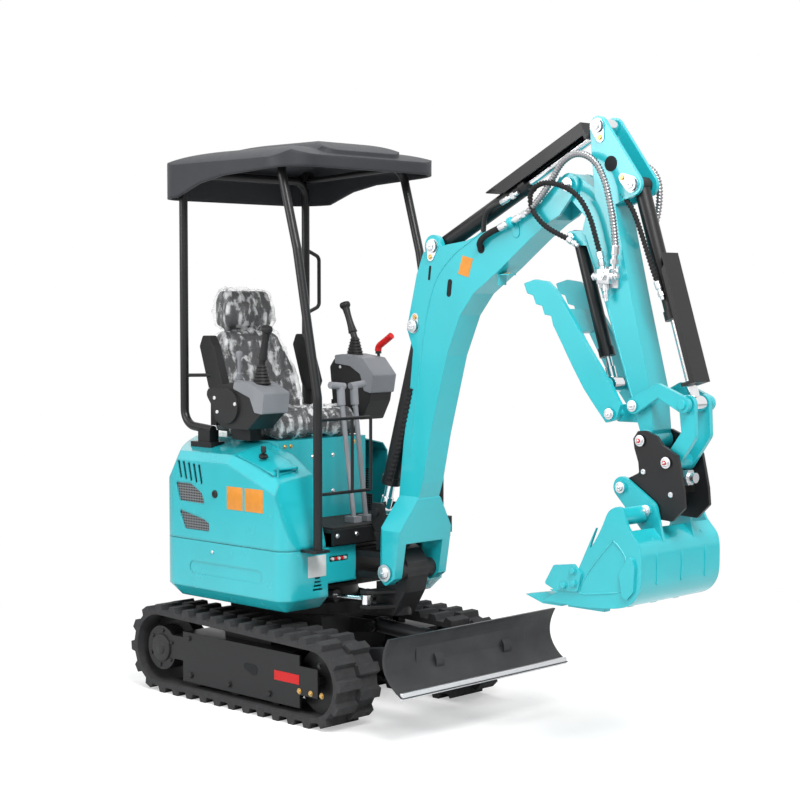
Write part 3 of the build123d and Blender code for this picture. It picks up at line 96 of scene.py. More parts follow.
class Look:
    """A node material in the making: the shader and small helpers to feed it."""

    def __init__(self, name, colour, roughness=0.5, metallic=0.0):
        self.material = bpy.data.materials.new(name)
        self.material.use_nodes = True
        self.tree = self.material.node_tree
        self.shader = self.tree.nodes["Principled BSDF"]
        self.set("Base Color", (*colour, 1.0))
        self.set("Roughness", roughness)
        self.set("Metallic", metallic)
        self.place = self.node("ShaderNodeTexCoord").outputs["Object"]

    def node(self, kind, **settings):
        """A new node with its settings."""
        made = self.tree.nodes.new(kind)
        for key, value in settings.items():
            setattr(made, key, value)
        return made

    def set(self, socket, value):
        """Sets one socket of the shader."""
        self.shader.inputs[socket].default_value = value

    def link(self, source, target):
        """Joins two sockets."""
        self.tree.links.new(source, target)

    def noise(self, scale, detail=3.0, roughness=0.5, stretch=None):
        """Noise in the object's own space, stretched along its axes if asked."""
        made = self.node("ShaderNodeTexNoise")
        made.inputs["Scale"].default_value = scale
        made.inputs["Detail"].default_value = detail
        made.inputs["Roughness"].default_value = roughness
        source = self.place
        if stretch:
            mapping = self.node("ShaderNodeMapping")
            mapping.inputs["Scale"].default_value = stretch
            self.link(self.place, mapping.inputs["Vector"])
            source = mapping.outputs["Vector"]
        self.link(source, made.inputs["Vector"])
        return made.outputs["Fac"]

    def ramp(self, source, stops):
        """A colour ramp through (place, colour) stops."""
        made = self.node("ShaderNodeValToRGB")
        ramp = made.color_ramp
        while len(ramp.elements) < len(stops):
            ramp.elements.new(0.5)
        for element, (place, colour) in zip(ramp.elements, stops):
            element.position = place
            element.color = (*colour, 1.0)
        self.link(source, made.inputs["Fac"])
        return made.outputs["Color"]

    def colour(self, source):
        """Feeds the base colour."""
        self.link(source, self.shader.inputs["Base Color"])

    def roughness(self, source, low, high):
        """Varies the roughness between two values."""
        made = self.node("ShaderNodeMapRange")
        made.inputs["To Min"].default_value = low
        made.inputs["To Max"].default_value = high
        self.link(source, made.inputs["Value"])
        self.link(made.outputs["Result"], self.shader.inputs["Roughness"])

    def bump(self, source, strength, distance=0.001, edge=0.0):
        """Bumps the surface, over softened edges where edge is a radius."""
        made = self.node("ShaderNodeBump")
        made.inputs["Strength"].default_value = strength
        made.inputs["Distance"].default_value = distance
        self.link(source, made.inputs["Height"])
        if edge:
            soft = self.node("ShaderNodeBevel", samples=4)
            soft.inputs["Radius"].default_value = edge
            self.link(soft.outputs["Normal"], made.inputs["Normal"])
        self.link(made.outputs["Normal"], self.shader.inputs["Normal"])


def shade(colour, factor):
    """A colour made lighter or darker."""
    return tuple(min(1.0, c * factor) for c in colour)


def paint(name, colour, roughness, coat, edge, grain=0.04, sheen=0.5):
    """Glossy sprayed paint: faint orange peel, slight colour drift and a clear coat."""
    look = Look(name, colour, roughness)
    drift = look.noise(3.0, 2.0)
    look.colour(look.ramp(drift, [(0.3, shade(colour, 0.94)), (0.7, shade(colour, 1.05))]))
    look.roughness(look.noise(9.0, 4.0), roughness - 0.05, roughness + 0.08)
    look.set("Coat Weight", coat)
    look.set("Coat Roughness", 0.08)
    look.set("Specular IOR Level", sheen)
    look.bump(look.noise(420.0, 2.0), grain, 0.0006, edge)
    return look.material


def rubber(name, colour, edge):
    """Moulded rubber with dust in its pores."""
    look = Look(name, colour, 0.82)
    dust = look.noise(26.0, 6.0, 0.65)
    colours = [(0.35, shade(colour, 0.75)), (0.62, colour), (0.8, shade(colour, 1.7))]
    look.colour(look.ramp(dust, colours))
    look.roughness(dust, 0.7, 0.95)
    look.set("Specular IOR Level", 0.2)
    look.bump(look.noise(160.0, 5.0), 0.35, 0.001, edge)
    return look.material


def plastic(name, colour, roughness, grain, edge=0.0015):
    """Moulded plastic with a leather-fine grain."""
    look = Look(name, colour, roughness)
    drift = look.noise(5.0, 3.0)
    look.colour(look.ramp(drift, [(0.3, shade(colour, 0.9)), (0.7, shade(colour, 1.1))]))
    look.roughness(look.noise(30.0, 4.0), roughness - 0.06, roughness + 0.08)
    look.bump(look.noise(520.0, 2.0), grain, 0.0008, edge)
    look.set("Specular IOR Level", 0.3)
    return look.material


def metal(name, colour, roughness, edge=0.001):
    """Bright machined or plated metal with fine turning marks."""
    look = Look(name, colour, roughness, 1.0)
    marks = look.noise(60.0, 4.0, 0.6, (1.0, 1.0, 14.0))
    look.roughness(marks, max(roughness - 0.04, 0.02), roughness + 0.12)
    look.bump(marks, 0.03, 0.0004, edge)
    return look.material


def cast(name, colour, edge=0.003):
    """Cast or plate steel, painted black over a rough skin."""
    look = Look(name, colour, 0.42)
    drift = look.noise(7.0, 5.0)
    look.colour(look.ramp(drift, [(0.3, shade(colour, 0.8)), (0.75, shade(colour, 1.5))]))
    look.roughness(look.noise(18.0, 5.0), 0.3, 0.58)
    look.set("Coat Weight", 0.1)
    look.set("Specular IOR Level", 0.3)
    look.bump(look.noise(90.0, 6.0, 0.6), 0.22, 0.0012, edge)
    return look.material


def plain(name, colour, roughness, coat=0.0):
    """A plate or label of one colour with faint scuffs."""
    look = Look(name, colour, roughness)
    look.colour(look.ramp(look.noise(40.0, 4.0), [(0.35, shade(colour, 0.9)), (0.7, colour)]))
    look.set("Coat Weight", coat)
    return look.material


def mesh_sheet(name):
    """A dark perforated sheet: round holes in straight rows, each hole painted black as the shade seen
    through it.
    """
    look = Look(name, (0.03, 0.03, 0.032), 0.5, 0.6)
    cells = look.node("ShaderNodeTexVoronoi")
    cells.inputs["Scale"].default_value = 88.0
    cells.inputs["Randomness"].default_value = 0.0
    look.link(look.place, cells.inputs["Vector"])
    from_hole = cells.outputs["Distance"]
    # Black in the holes and grey on the sheet: the black is painted shade of the dark space behind the holes
    look.colour(look.ramp(from_hole, [(0.32, (0.0, 0.0, 0.0)), (0.4, (0.2, 0.21, 0.22))]))
    look.bump(from_hole, 0.8, 0.002)
    return look.material


def wrap_film(name):
    """Clear crinkled wrapping: see-through, with white streaks on its creases that are painted highlights,
    and sharp highlights on them.
    """
    look = Look(name, (0.86, 0.87, 0.88), 0.18)
    folds = look.noise(9.0, 3.0, 0.5, (0.7, 3.6, 0.9))
    fine = look.noise(17.0, 3.0, 0.55, (3.0, 0.7, 0.9))
    look.bump(fine, 0.9, 0.006)
    both = look.node("ShaderNodeMath", operation="MULTIPLY")
    look.link(folds, both.inputs[0])
    look.link(fine, both.inputs[1])
    # Painted highlights: along the creases the film is mixed from clear towards opaque white
    greys = ((0.22, 0.08), (0.26, 0.22), (0.31, 0.55), (0.37, 0.85))
    painted_highlights = look.ramp(both.outputs[0], [(place, (grey, grey, grey)) for place, grey in greys])
    clear = look.node("ShaderNodeBsdfTransparent")
    mix = look.node("ShaderNodeMixShader")
    look.link(painted_highlights, mix.inputs["Fac"])
    look.link(clear.outputs[0], mix.inputs[1])
    look.link(look.shader.outputs[0], mix.inputs[2])
    look.link(mix.outputs[0], look.tree.nodes["Material Output"].inputs["Surface"])
    return look.material


TURQUOISE = (0.014, 0.46, 0.52)
BLACK = (0.012, 0.012, 0.013)

MATERIALS = {
    "teal_paint": paint("turquoise_paint", TURQUOISE, 0.3, 0.6, 0.004),
    "black_paint": paint("black_paint", BLACK, 0.36, 0.06, 0.002, sheen=0.3),
    "track_rubber": rubber("track_rubber", (0.05, 0.05, 0.052), 0.004),
    "roof_plastic": plastic("roof_plastic", (0.03, 0.032, 0.037), 0.5, 0.25, 0.016),
    "grey_plastic": plastic("grey_plastic", (0.24, 0.25, 0.27), 0.5, 0.2, 0.005),
    "black_plastic": plastic("black_plastic", (0.016, 0.016, 0.017), 0.45, 0.2, 0.004),
    "seat_vinyl": plastic("seat_vinyl", (0.035, 0.035, 0.038), 0.5, 0.4, 0.0),
    "chrome": metal("chrome", (0.82, 0.82, 0.84), 0.12),
    "mat_rubber": rubber("mat_rubber", (0.03, 0.03, 0.03), 0.002),
    "cast_iron": cast("cast_iron", (0.016, 0.016, 0.017)),
    "red_plastic": plastic("red_plastic", (0.6, 0.012, 0.012), 0.35, 0.1),
}
HOOD_PAINT = paint("hood_paint", TURQUOISE, 0.24, 0.8, 0.016)
ZINC = metal("zinc_plate", (0.72, 0.73, 0.75), 0.3, 0.0006)
BRASS = metal("yellow_zinc", (0.62, 0.42, 0.16), 0.34, 0.0006)
HOSE = rubber("hose_rubber", (0.02, 0.02, 0.021), 0.0)
SPRING = metal("steel_coil", (0.3, 0.3, 0.31), 0.34, 0.0)
FILM = wrap_film("clear_wrap")
ORANGE = plain("orange_plate", (0.72, 0.26, 0.01), 0.4, 0.3)
WHITE = plain("white_plate", (0.75, 0.75, 0.74), 0.45, 0.3)
# Near-black for dark patches on the bodywork: painted shade standing in for the inside of its openings
PAINTED_HOLE_SHADE = plain("painted_hole_shade", (0.004, 0.006, 0.007), 0.9)
GRILLE = mesh_sheet("perforated_sheet")
BLADE_STEEL = cast("blade_steel", (0.024, 0.025, 0.027), 0.002)

# Nodes that look other than their slot says
NODE_LOOKS = {
    "hood": HOOD_PAINT,
    "skirt": HOOD_PAINT,
    "grilles": GRILLE,
    "blade": BLADE_STEEL,
    "lock_lever": MATERIALS["black_paint"],
}


def dress_nodes():
    """Gives each CAD node the material of its slot, or one of its own."""
    for part in frame["record"]["subparts"]:
        node = NODES[part["node"]]
        node.data.materials.clear()
        node.data.materials.append(NODE_LOOKS.get(part["node"]) or MATERIALS[part["material_slot"]])


# Mesh helpers

def new_piece(name, bm, material, body, angle=32):
    """A new object from mesh data, smooth below an angle, riding on a body where one is named."""
    mesh = bpy.data.meshes.new(name)
    bmesh.ops.recalc_face_normals(bm, faces=bm.faces)
    bm.to_mesh(mesh)
    bm.free()
    mesh.shade_smooth()
    mesh.set_sharp_from_angle(angle=math.radians(angle))
    mesh.materials.append(material)
    made = bpy.data.objects.new(name, mesh)
    bpy.context.scene.collection.objects.link(made)
    if body:
        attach(made, body)
    return made


def turned(where, way):
    """A frame at a point with its Z along a direction."""
    return Matrix.Translation(where) @ Vector(way).to_track_quat("Z", "Y").to_matrix().to_4x4()


def skin(bm, rings):
    """Faces from each ring of points to the next, with the first and last ring closed."""
    for low, high in zip(rings, rings[1:]):
        for i in range(len(low)):
            j = (i + 1) % len(low)
            bm.faces.new((low[i], low[j], high[j], high[i]))
    bm.faces.new(list(reversed(rings[0])))
    bm.faces.new(rings[-1])


def lathe(bm, where, way, profile, sides=24):
    """A turned solid on an axis, from (height, radius) steps."""
    base = turned(where, way)
    angles = [2 * math.pi * i / sides for i in range(sides)]
    skin(bm, [[bm.verts.new(base @ Vector((radius * math.cos(a), radius * math.sin(a), height)))
               for a in angles] for height, radius in profile])


def hexbolt(bm, where, way, radius):
    """A chamfered hexagon head on its washer."""
    washer, flange = radius * 0.16, radius * 1.35
    top, chamfer = radius * 0.8, radius * 0.12
    lathe(bm, where, way, [(0, flange), (washer, flange)])
    lathe(bm, where, way, [(washer, radius), (top - chamfer, radius), (top, radius * 0.84)], 6)


def button(bm, where, way, radius):
    """A low round head with a socket."""
    top, socket = radius * 0.5, radius * 0.34
    lathe(bm, where, way, [(0, radius), (radius * 0.35, radius * 0.94), (top, radius * 0.7),
                           (top, socket), (radius * 0.2, radius * 0.3)])


def pin_cap(bm, where, way, radius):
    """The turned end of a pin with its grease nipple."""
    flange, seat, end = radius * 1.5, 0.003, 0.011
    lathe(bm, where, way, [(0, flange), (seat, flange), (0.0035, radius), (0.009, radius),
                           (end, radius * 0.86)], 32)
    nipple = [(0, 0.005), (0.004, 0.005), (0.006, 0.003), (0.01, 0.0028)]
    lathe(bm, where + Vector(way) * end, way, nipple, 12)


def slab(bm, outline, y0, y1):
    """A prism from an X-Z outline in millimetres, between two sides in millimetres."""
    skin(bm, [[bm.verts.new(at(x, y, z)) for x, z in outline] for y in (y0, y1)])


def drop_outline(a, ra, b, rb, steps=12):
    """The outline drawn tight round two circles in X-Z."""
    way = math.atan2(b[1] - a[1], b[0] - a[0])
    gap = math.hypot(b[0] - a[0], b[1] - a[1])
    lean = math.acos((ra - rb) / gap)
    points = []
    for centre, radius, start, end in ((a, ra, lean, 2 * math.pi - lean), (b, rb, -lean, lean)):
        for i in range(steps + 1):
            angle = way + start + (end - start) * i / steps
            points.append((centre[0] + radius * math.cos(angle), centre[1] + radius * math.sin(angle)))
    return points


def box_mesh(bm, low, high, round_off):
    """A box between two points in metres, its edges rounded."""
    middle = (Vector(low) + Vector(high)) / 2
    size = Vector(high) - Vector(low)
    place = Matrix.Translation(middle) @ Matrix.Diagonal((*size, 1.0))
    made = bmesh.ops.create_cube(bm, size=1.0, matrix=place)
    edges = {edge for vert in made["verts"] for edge in vert.link_edges}
    bmesh.ops.bevel(bm, geom=list(edges), offset=round_off, segments=3, affect="EDGES", profile=0.5)


# Hoses and pipes

def route(points):
    """Points along the smooth line of a hose, from the NURBS spline with its control points."""
    data = bpy.data.curves.new("route", "CURVE")
    data.dimensions = "3D"
    data.resolution_u = 24
    spline = data.splines.new("NURBS")
    spline.points.add(len(points) - 1)
    for point, place in zip(spline.points, points):
        point.co = (*at(*place), 1.0)
    spline.order_u = 3
    spline.use_endpoint_u = True
    holder = bpy.data.objects.new("route", data)
    bpy.context.scene.collection.objects.link(holder)
    bpy.context.view_layer.update()
    mesh = bpy.data.meshes.new_from_object(holder)
    line = [vert.co.copy() for vert in mesh.vertices]
    bpy.data.objects.remove(holder)
    bpy.data.curves.remove(data)
    bpy.data.meshes.remove(mesh)
    return line


def evenly(line, step):
    """The line again with its points a step apart, with each point's distance along it."""
    total = sum((b - a).length for a, b in zip(line, line[1:]))
    count = max(2, round(total / step))
    marks = [total * i / count for i in range(count + 1)]
    places, run, i = [], 0.0, 0
    for mark in marks:
        while i < len(line) - 2 and run + (line[i + 1] - line[i]).length < mark:
            run += (line[i + 1] - line[i]).length
            i += 1
        leg = line[i + 1] - line[i]
        places.append(line[i] + leg * min(1.0, (mark - run) / max(leg.length, 1e-9)))
    return marks, places


# The step between the rings of a smooth hose in metres, and the steps in one turn of a wrapped one
SMOOTH_STEP = 0.008
WRAP_STEPS = 4


def hose(name, points, radius, material, body, pitch=0.0, depth=0.0, spiral=False, sides=14):
    """A hose along its route, with rings or a spiral wrap of a pitch and depth."""
    step = pitch / WRAP_STEPS if pitch else SMOOTH_STEP
    marks, places = evenly(route(points), step)
    bm = bmesh.new()
    across = None
    rings = []
    for k, (mark, place) in enumerate(zip(marks, places)):
        way = (places[min(k + 1, len(places) - 1)] - places[max(k - 1, 0)]).normalized()
        across = way.orthogonal() if across is None else across - way * across.dot(way)
        across.normalize()
        over = way.cross(across)
        ring = []
        for i in range(sides):
            angle = 2 * math.pi * i / sides
            turn = angle if spiral else 0.0
            swell = math.cos(2 * math.pi * mark / pitch - turn) * depth if pitch else 0.0
            reach = radius * (1 + swell)
            ring.append(bm.verts.new(place + (across * math.cos(angle) + over * math.sin(angle)) * reach))
        rings.append(ring)
    skin(bm, rings)
    return new_piece(name, bm, material, body, angle=80)


def weld(name, outline, y, body, radius=0.0028, pitch=0.007, depth=0.16):
    """A rippled weld bead along an X-Z line in millimetres, on one side of a body."""
    points = [(x, y, z) for x, z in outline]
    hose(name, points, radius, MATERIALS["teal_paint"], body, pitch, depth, sides=10)


def fitting(bm, start, end, size):
    """A crimped hose end: a ferrule, a hexagon nut and a neck between two points in millimetres."""
    start, end, radius = at(*start), at(*end), size / 1000
    way, length = (end - start).normalized(), (end - start).length
    nut, neck = length * 0.6, length * 0.8
    lathe(bm, start, way, [(0, radius * 1.05), (length * 0.04, radius * 1.25),
                           (length * 0.4, radius * 1.25), (length * 0.44, radius * 0.9),
                           (nut, radius * 0.9)])
    lathe(bm, start, way, [(nut, radius * 1.3), (neck, radius * 1.3)], 6)
    lathe(bm, start, way, [(neck, radius * 0.8), (length, radius * 0.8)])


# Front linkage

# The arm cylinder's eye and the bucket's two pins in X and Z, in millimetres
ARM_CYLINDER_EYE = (1618, 2396)
BUCKET_PINS = ((1778, 1055), (1896, 979))

# Each pin's place, its ends' distance from the middle and its radius, in metres
PIN_ENDS = {
    "swing_post": [(JOINTS["boom_lift"], 0.162, 0.024)],
    "boom": [(JOINTS["boom_cylinder_barrel_pivot"], 0.074, 0.017),
             (JOINTS["arm_cylinder_barrel_pivot"], 0.074, 0.017)],
    "arm": [(JOINTS["arm_crowd"], 0.072, 0.017),
            (at(ARM_CYLINDER_EYE[0], 0, ARM_CYLINDER_EYE[1]), 0.068, 0.017),
            (JOINTS["bucket_cylinder_barrel_pivot"], 0.068, 0.017),
            (JOINTS["side_links_pivot"], 0.09, 0.014),
            (JOINTS["thumb_turn"], 0.116, 0.014),
            (JOINTS["thumb_cylinder_barrel_pivot"], 0.058, 0.012)],
    "bucket": [(JOINTS["bucket_turn"], 0.09, 0.014),
               (JOINTS["h_link_pivot"], 0.09, 0.014),
               *((at(x, 0, z), 0.114, 0.014) for x, z in BUCKET_PINS)],
}


def linkage_pins():
    """Caps on the ends of the linkage's pins, on both sides of each body."""
    for body, pins in PIN_ENDS.items():
        bm = bmesh.new()
        for place, reach, radius in pins:
            for _, sign, way in SIDES:
                pin_cap(bm, Vector((place.x, sign * reach, place.z)), way, radius)
        new_piece(body + "_pin_caps", bm, ZINC, body)


# For each body its half width, and the pin and the bolt of each keeper plate in X and Z
KEEPERS = {
    "boom": (BOOM_SIDE, (((776, 1966), (766, 1922)), ((668, 1639), (678, 1676)))),
    "arm": (ARM_SIDE, ((ARM_CYLINDER_EYE, (1632, 2352)), ((1779, 2172), (1738, 2198)))),
}
KEEPER_PIN_R = 30
KEEPER_BOLT_R = 17
KEEPER_THICK = 5


def keeper_plates():
    """The pins' keeper plates, each held by one bolt."""
    for body, (half, keepers) in KEEPERS.items():
        plates, bolts = bmesh.new(), bmesh.new()
        face = half + KEEPER_THICK
        for pin_at, bolt_at in keepers:
            outline = drop_outline(pin_at, KEEPER_PIN_R, bolt_at, KEEPER_BOLT_R)
            for _, sign, way in SIDES:
                slab(plates, outline, sign * half, sign * face)
                hexbolt(bolts, at(bolt_at[0], sign * face, bolt_at[1]), way, 0.008)
        new_piece(body + "_keeper_plates", plates, ZINC, body)
        new_piece(body + "_keeper_bolts", bolts, BRASS, body)


BOOM_WELD = [(1043, 2016), (972, 1975), (905, 1940), (845, 1890), (800, 1840), (770, 1780), (742, 1690),
             (716, 1560), (690, 1400), (668, 1250), (650, 1100)]
BOOM_SLOTS = ((758, 1857, 6), (868, 1795, 12))
SLOT_RISE = 24
SLOT_LEAN = 3
BOOM_PLATE = [(941, 1925), (997, 1911), (972, 1837), (916, 1852)]
BOOM_BRACKET = [(1112, 1850), (1168, 1850), (1168, 1844), (1118, 1844), (1118, 1806), (1112, 1806)]


def boom_details():
    """Weld beads, dark patches painted as the shade inside the openings, the blank plate, the ring clamp and
    the bolted bracket on the boom.
    """
    for name, sign, _ in SIDES:
        weld(f"boom_weld_{name}", BOOM_WELD, sign * BOOM_SIDE, "boom")
    # Dark patches on the boom's right side: painted shade standing in for the inside of its slots and its
    # port
    painted_shade_patches = bmesh.new()
    for x, z, half in BOOM_SLOTS:
        low, high = (x - SLOT_LEAN, z - SLOT_RISE), (x + SLOT_LEAN, z + SLOT_RISE)
        slab(painted_shade_patches, drop_outline(low, half, high, half - 0.01), -BOOM_SIDE - 0.8, 1 - BOOM_SIDE)
    lathe(painted_shade_patches, at(1040, 1 - BOOM_SIDE, 1950), RIGHT, [(0, 0.019), (0.0018, 0.019)])
    new_piece("boom_opening_shade", painted_shade_patches, PAINTED_HOLE_SHADE, "boom")
    plate = bmesh.new()
    slab(plate, BOOM_PLATE, -BOOM_SIDE - 1, -BOOM_SIDE)
    new_piece("boom_blank_plate", plate, ORANGE, "boom")
    clamp = bmesh.new()
    slab(clamp, drop_outline((1216, 2046), 20, (1226, 2006), 16), -BOOM_SIDE - 4, -BOOM_SIDE)
    lathe(clamp, at(1208, -84, 2046), Vector((0.93, 0, 0.36)), [(0, 0.021), (0.014, 0.021)], 32)
    lathe(clamp, at(1216, -BOOM_SIDE, 2040), RIGHT, [(0, 0.011), (0.016, 0.011)], 20)
    slab(clamp, BOOM_BRACKET, -42, 2)
    new_piece("boom_clamp", clamp, MATERIALS["teal_paint"], "boom")
    bolts = bmesh.new()
    for x in (1130, 1152):
        hexbolt(bolts, at(x, -20, BOOM_BRACKET[0][1]), UP, 0.006)
    new_piece("boom_bracket_bolts", bolts, BRASS, "boom")


ARM_WELD = [(1560, 1990), (1610, 1860), (1664, 1740), (1730, 1550), (1800, 1350)]

# The valve block's ports on the arm: start, end and radius in millimetres
VALVE_PORTS = (
    ((1682, -86, 1806), (1688, -86, 1742), 11),
    ((1652, -86, 1834), (1622, -86, 1834), 12),
    ((1712, -86, 1834), (1742, -86, 1836), 12),
    ((1682, -104, 1836), (1682, -124, 1836), 13),
)


def arm_details():
    """Dark discs painted as the shade inside the round opening on both sides, edge welds and the valve block
    on the arm.
    """
    # Dark discs on both sides: painted shade standing in for the inside of the round opening
    shade_patch = bmesh.new()
    for _, sign, way in SIDES:
        lathe(shade_patch, at(1681, sign * ARM_SIDE, 2253), way, [(0, 0.029), (0.0012, 0.029)], 40)
    new_piece("arm_opening_shade", shade_patch, PAINTED_HOLE_SHADE, "arm")
    valve = bmesh.new()
    box_mesh(valve, at(1652, -104, 1806), at(1712, -66, 1862), 0.004)
    box_mesh(valve, at(1640, -70, 1790), at(1728, -ARM_SIDE, 1872), 0.003)
    for port in VALVE_PORTS:
        fitting(valve, *port)
    new_piece("arm_valve_block", valve, ZINC, "arm")
    for name, sign, _ in SIDES:
        weld(f"arm_weld_{name}", ARM_WELD, sign * ARM_SIDE, "arm")


# The hoses' control points in millimetres
PORT_HOSE = [(1038, -56, 1950), (1042, -80, 1962), (1062, -84, 1990), (1110, -84, 2014), (1160, -84, 2030)]
COIL_HOSE = [(1300, -84, 2084), (1345, -84, 2118), (1421, -88, 2197), (1475, -96, 2268), (1555, -104, 2302),
             (1640, -104, 2272), (1688, -100, 2190), (1706, -94, 2110), (1722, -90, 2030), (1730, -88, 1945)]
LOOP_HOSE = [(1656, -88, 1922), (1640, -90, 1975), (1612, -92, 2060), (1560, -96, 2140), (1480, -100, 2182),
             (1390, -98, 2198), (1318, -92, 2168), (1318, -88, 2100), (1370, -84, 2040), (1430, -78, 2004),
             (1492, -70, 1978)]
REAR_HOSE = [(1700, 76, 2262), (1760, 76, 2246), (1806, 76, 2190), (1808, 76, 2110), (1792, 76, 2030),
             (1760, 76, 1960)]
BUCKET_HOSE = [(1722, -46, 2140), (1766, -46, 2100), (1800, -46, 2030), (1832, -46, 1952), (1862, -46, 1873),
               (1890, -46, 1810)]
LIFT_HOSE = [(520, -58, 985), (548, -60, 1052), (590, -60, 1160), (628, -60, 1290), (652, -62, 1380)]
TOP_PIPE = [(1041, -50, 1996), (1041, -50, 2060), (1062, -50, 2110), (1135, -46, 2130)]

# The hoses' ends on each body: start, end and radius in millimetres
HOSE_ENDS = {
    "boom": [((1155, -84, 2028), (1235, -84, 2058), 12), ((1232, -84, 2056), (1305, -84, 2088), 11)],
    "arm_cylinder_barrel": [((1130, -46, 2129), (1218, -44, 2166), 10)],
    "arm": [((1730, -88, 1950), (1722, -88, 1862), 12), ((1655, -88, 1926), (1672, -88, 1862), 11),
            ((1488, -70, 1980), (1532, -62, 1952), 10)],
    "bucket_cylinder_barrel": [((1886, -46, 1815), (1912, -40, 1748), 10)],
}


def linkage_hoses():
    """Hoses and their ends along the boom and the arm."""
    hose("port_hose", PORT_HOSE, 0.0125, HOSE, "boom")
    coil = hose("coil_hose", COIL_HOSE, 0.0115, SPRING, None, 0.012, 0.2)
    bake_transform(coil)
    hose("loop_hose", LOOP_HOSE, 0.0095, HOSE, "arm", 0.014, 0.22, True)
    hose("rear_hose", REAR_HOSE, 0.0115, SPRING, "arm", 0.012, 0.2)
    hose("bucket_hose", BUCKET_HOSE, 0.009, HOSE, "bucket_cylinder_barrel",
         0.014, 0.22, True)
    hose("lift_hose", LIFT_HOSE, 0.012, HOSE, "boom", 0.02, 0.2, True)
    hose("top_pipe", TOP_PIPE, 0.0105, MATERIALS["black_paint"], "boom")
    for body, ends in HOSE_ENDS.items():
        bm = bmesh.new()
        for end in ends:
            fitting(bm, *end)
        new_piece(body + "_hose_ends", bm, ZINC, body)


BUCKET_SEAM = [(1848, 876), (1792, 820), (1738, 754), (1700, 700), (1688, 672), (1706, 664), (1790, 676),
               (1880, 690), (1912, 716), (1922, 764), (1908, 812), (1884, 850), (1848, 876)]
BUCKET_BAND = ((1975, 720), (1979, 780), (1974, 840), (1952, 888))
BAND_PLACES = (("a", -150), ("b", 0), ("c", 150))
CUTTER_BOLTS = ((1670, 748), (1627, 690), (1674, 702))
HITCH_BOLTS = ((1862, 1117), (1985, 1041))
HITCH_PLUGS = ((1849, 1231), (1966, 1157))


def bucket_details():
    """The bucket's weld seams, cutter bolts and bands, and the hitch's bolts, plugs and cylinder."""
    heads = bmesh.new()
    for name, sign, way in SIDES:
        weld(f"bucket_seam_{name}", BUCKET_SEAM, sign * BUCKET_SIDE, "bucket", 0.004, 0.008, 0.2)
        for x, z in CUTTER_BOLTS:
            hexbolt(heads, at(x, sign * CUTTER_SIDE, z), way, 0.013)
    new_piece("cutter_bolts", heads, MATERIALS["teal_paint"], "bucket")
    for name, y in BAND_PLACES:
        band = [(x, y, z) for x, z in BUCKET_BAND]
        hose(f"bucket_band_{name}", band, 0.004, MATERIALS["teal_paint"], "bucket")
    bolts, plugs = bmesh.new(), bmesh.new()
    for _, sign, way in SIDES:
        for x, z in HITCH_BOLTS:
            button(bolts, at(x, sign * HITCH_SIDE, z), way, 0.011)
        for x, z in HITCH_PLUGS:
            plug_at = at(x, sign * HITCH_BOSS_SIDE, z)
            lathe(plugs, plug_at, way, [(0, 0.008), (0.003, 0.008), (0.004, 0.006)], 20)
    fitting(bolts, (1920, 0, 1100), (2036, 0, 1100), 24)
    new_piece("hitch_bolts", bolts, ZINC, "bucket")
    new_piece("hitch_plugs", plugs, MATERIALS["red_plastic"], "bucket")


# Body

def on_top(node, x, y):
    """The point and normal where a plumb line meets a node from above, x and y in metres."""
    _, place, normal, _ = NODES[node].ray_cast(Vector((x, y, 3)), Vector((0, 0, -1)))
    return place, normal


def fuel_lock():
    """The fuel lid's lock with its key left in it."""
    low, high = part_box("fuel_lid")
    lock_x = low[0] + (high[0] - low[0]) * 0.36
    lock_y = low[1] + (high[1] - low[1]) * 0.5
    place, normal = on_top("fuel_lid", lock_x, lock_y)
    lock = bmesh.new()
    barrel = [(0, 0.019), (0.012, 0.019), (0.016, 0.015), (0.016, 0.006), (0.03, 0.006)]
    lathe(lock, place - normal * 0.002, normal, barrel, 32)
    key, key_half = place + normal * 0.038, Vector((0.015, 0.0035, 0.014))
    box_mesh(lock, key - key_half, key + key_half, 0.003)
    fob = place + Vector((0.026, -0.02, 0.004))
    box_mesh(lock, fob - Vector((0.012, 0.017, 0.003)), fob + Vector((0.012, 0.017, 0.004)), 0.0025)
    new_piece("fuel_lock", lock, MATERIALS["black_plastic"], "fuel_lid")


# Places on the house in millimetres
HOOD_PLATES = ((-18, 83), (99, 214))
PLATE_THICK = 2
SKIRT_FITTINGS = (-222, -204, -186, -168, -150)
SKIRT_BOLTS = (-232, -120, 20, 150, 290, 420)
SEAT_FRONT_X = 50


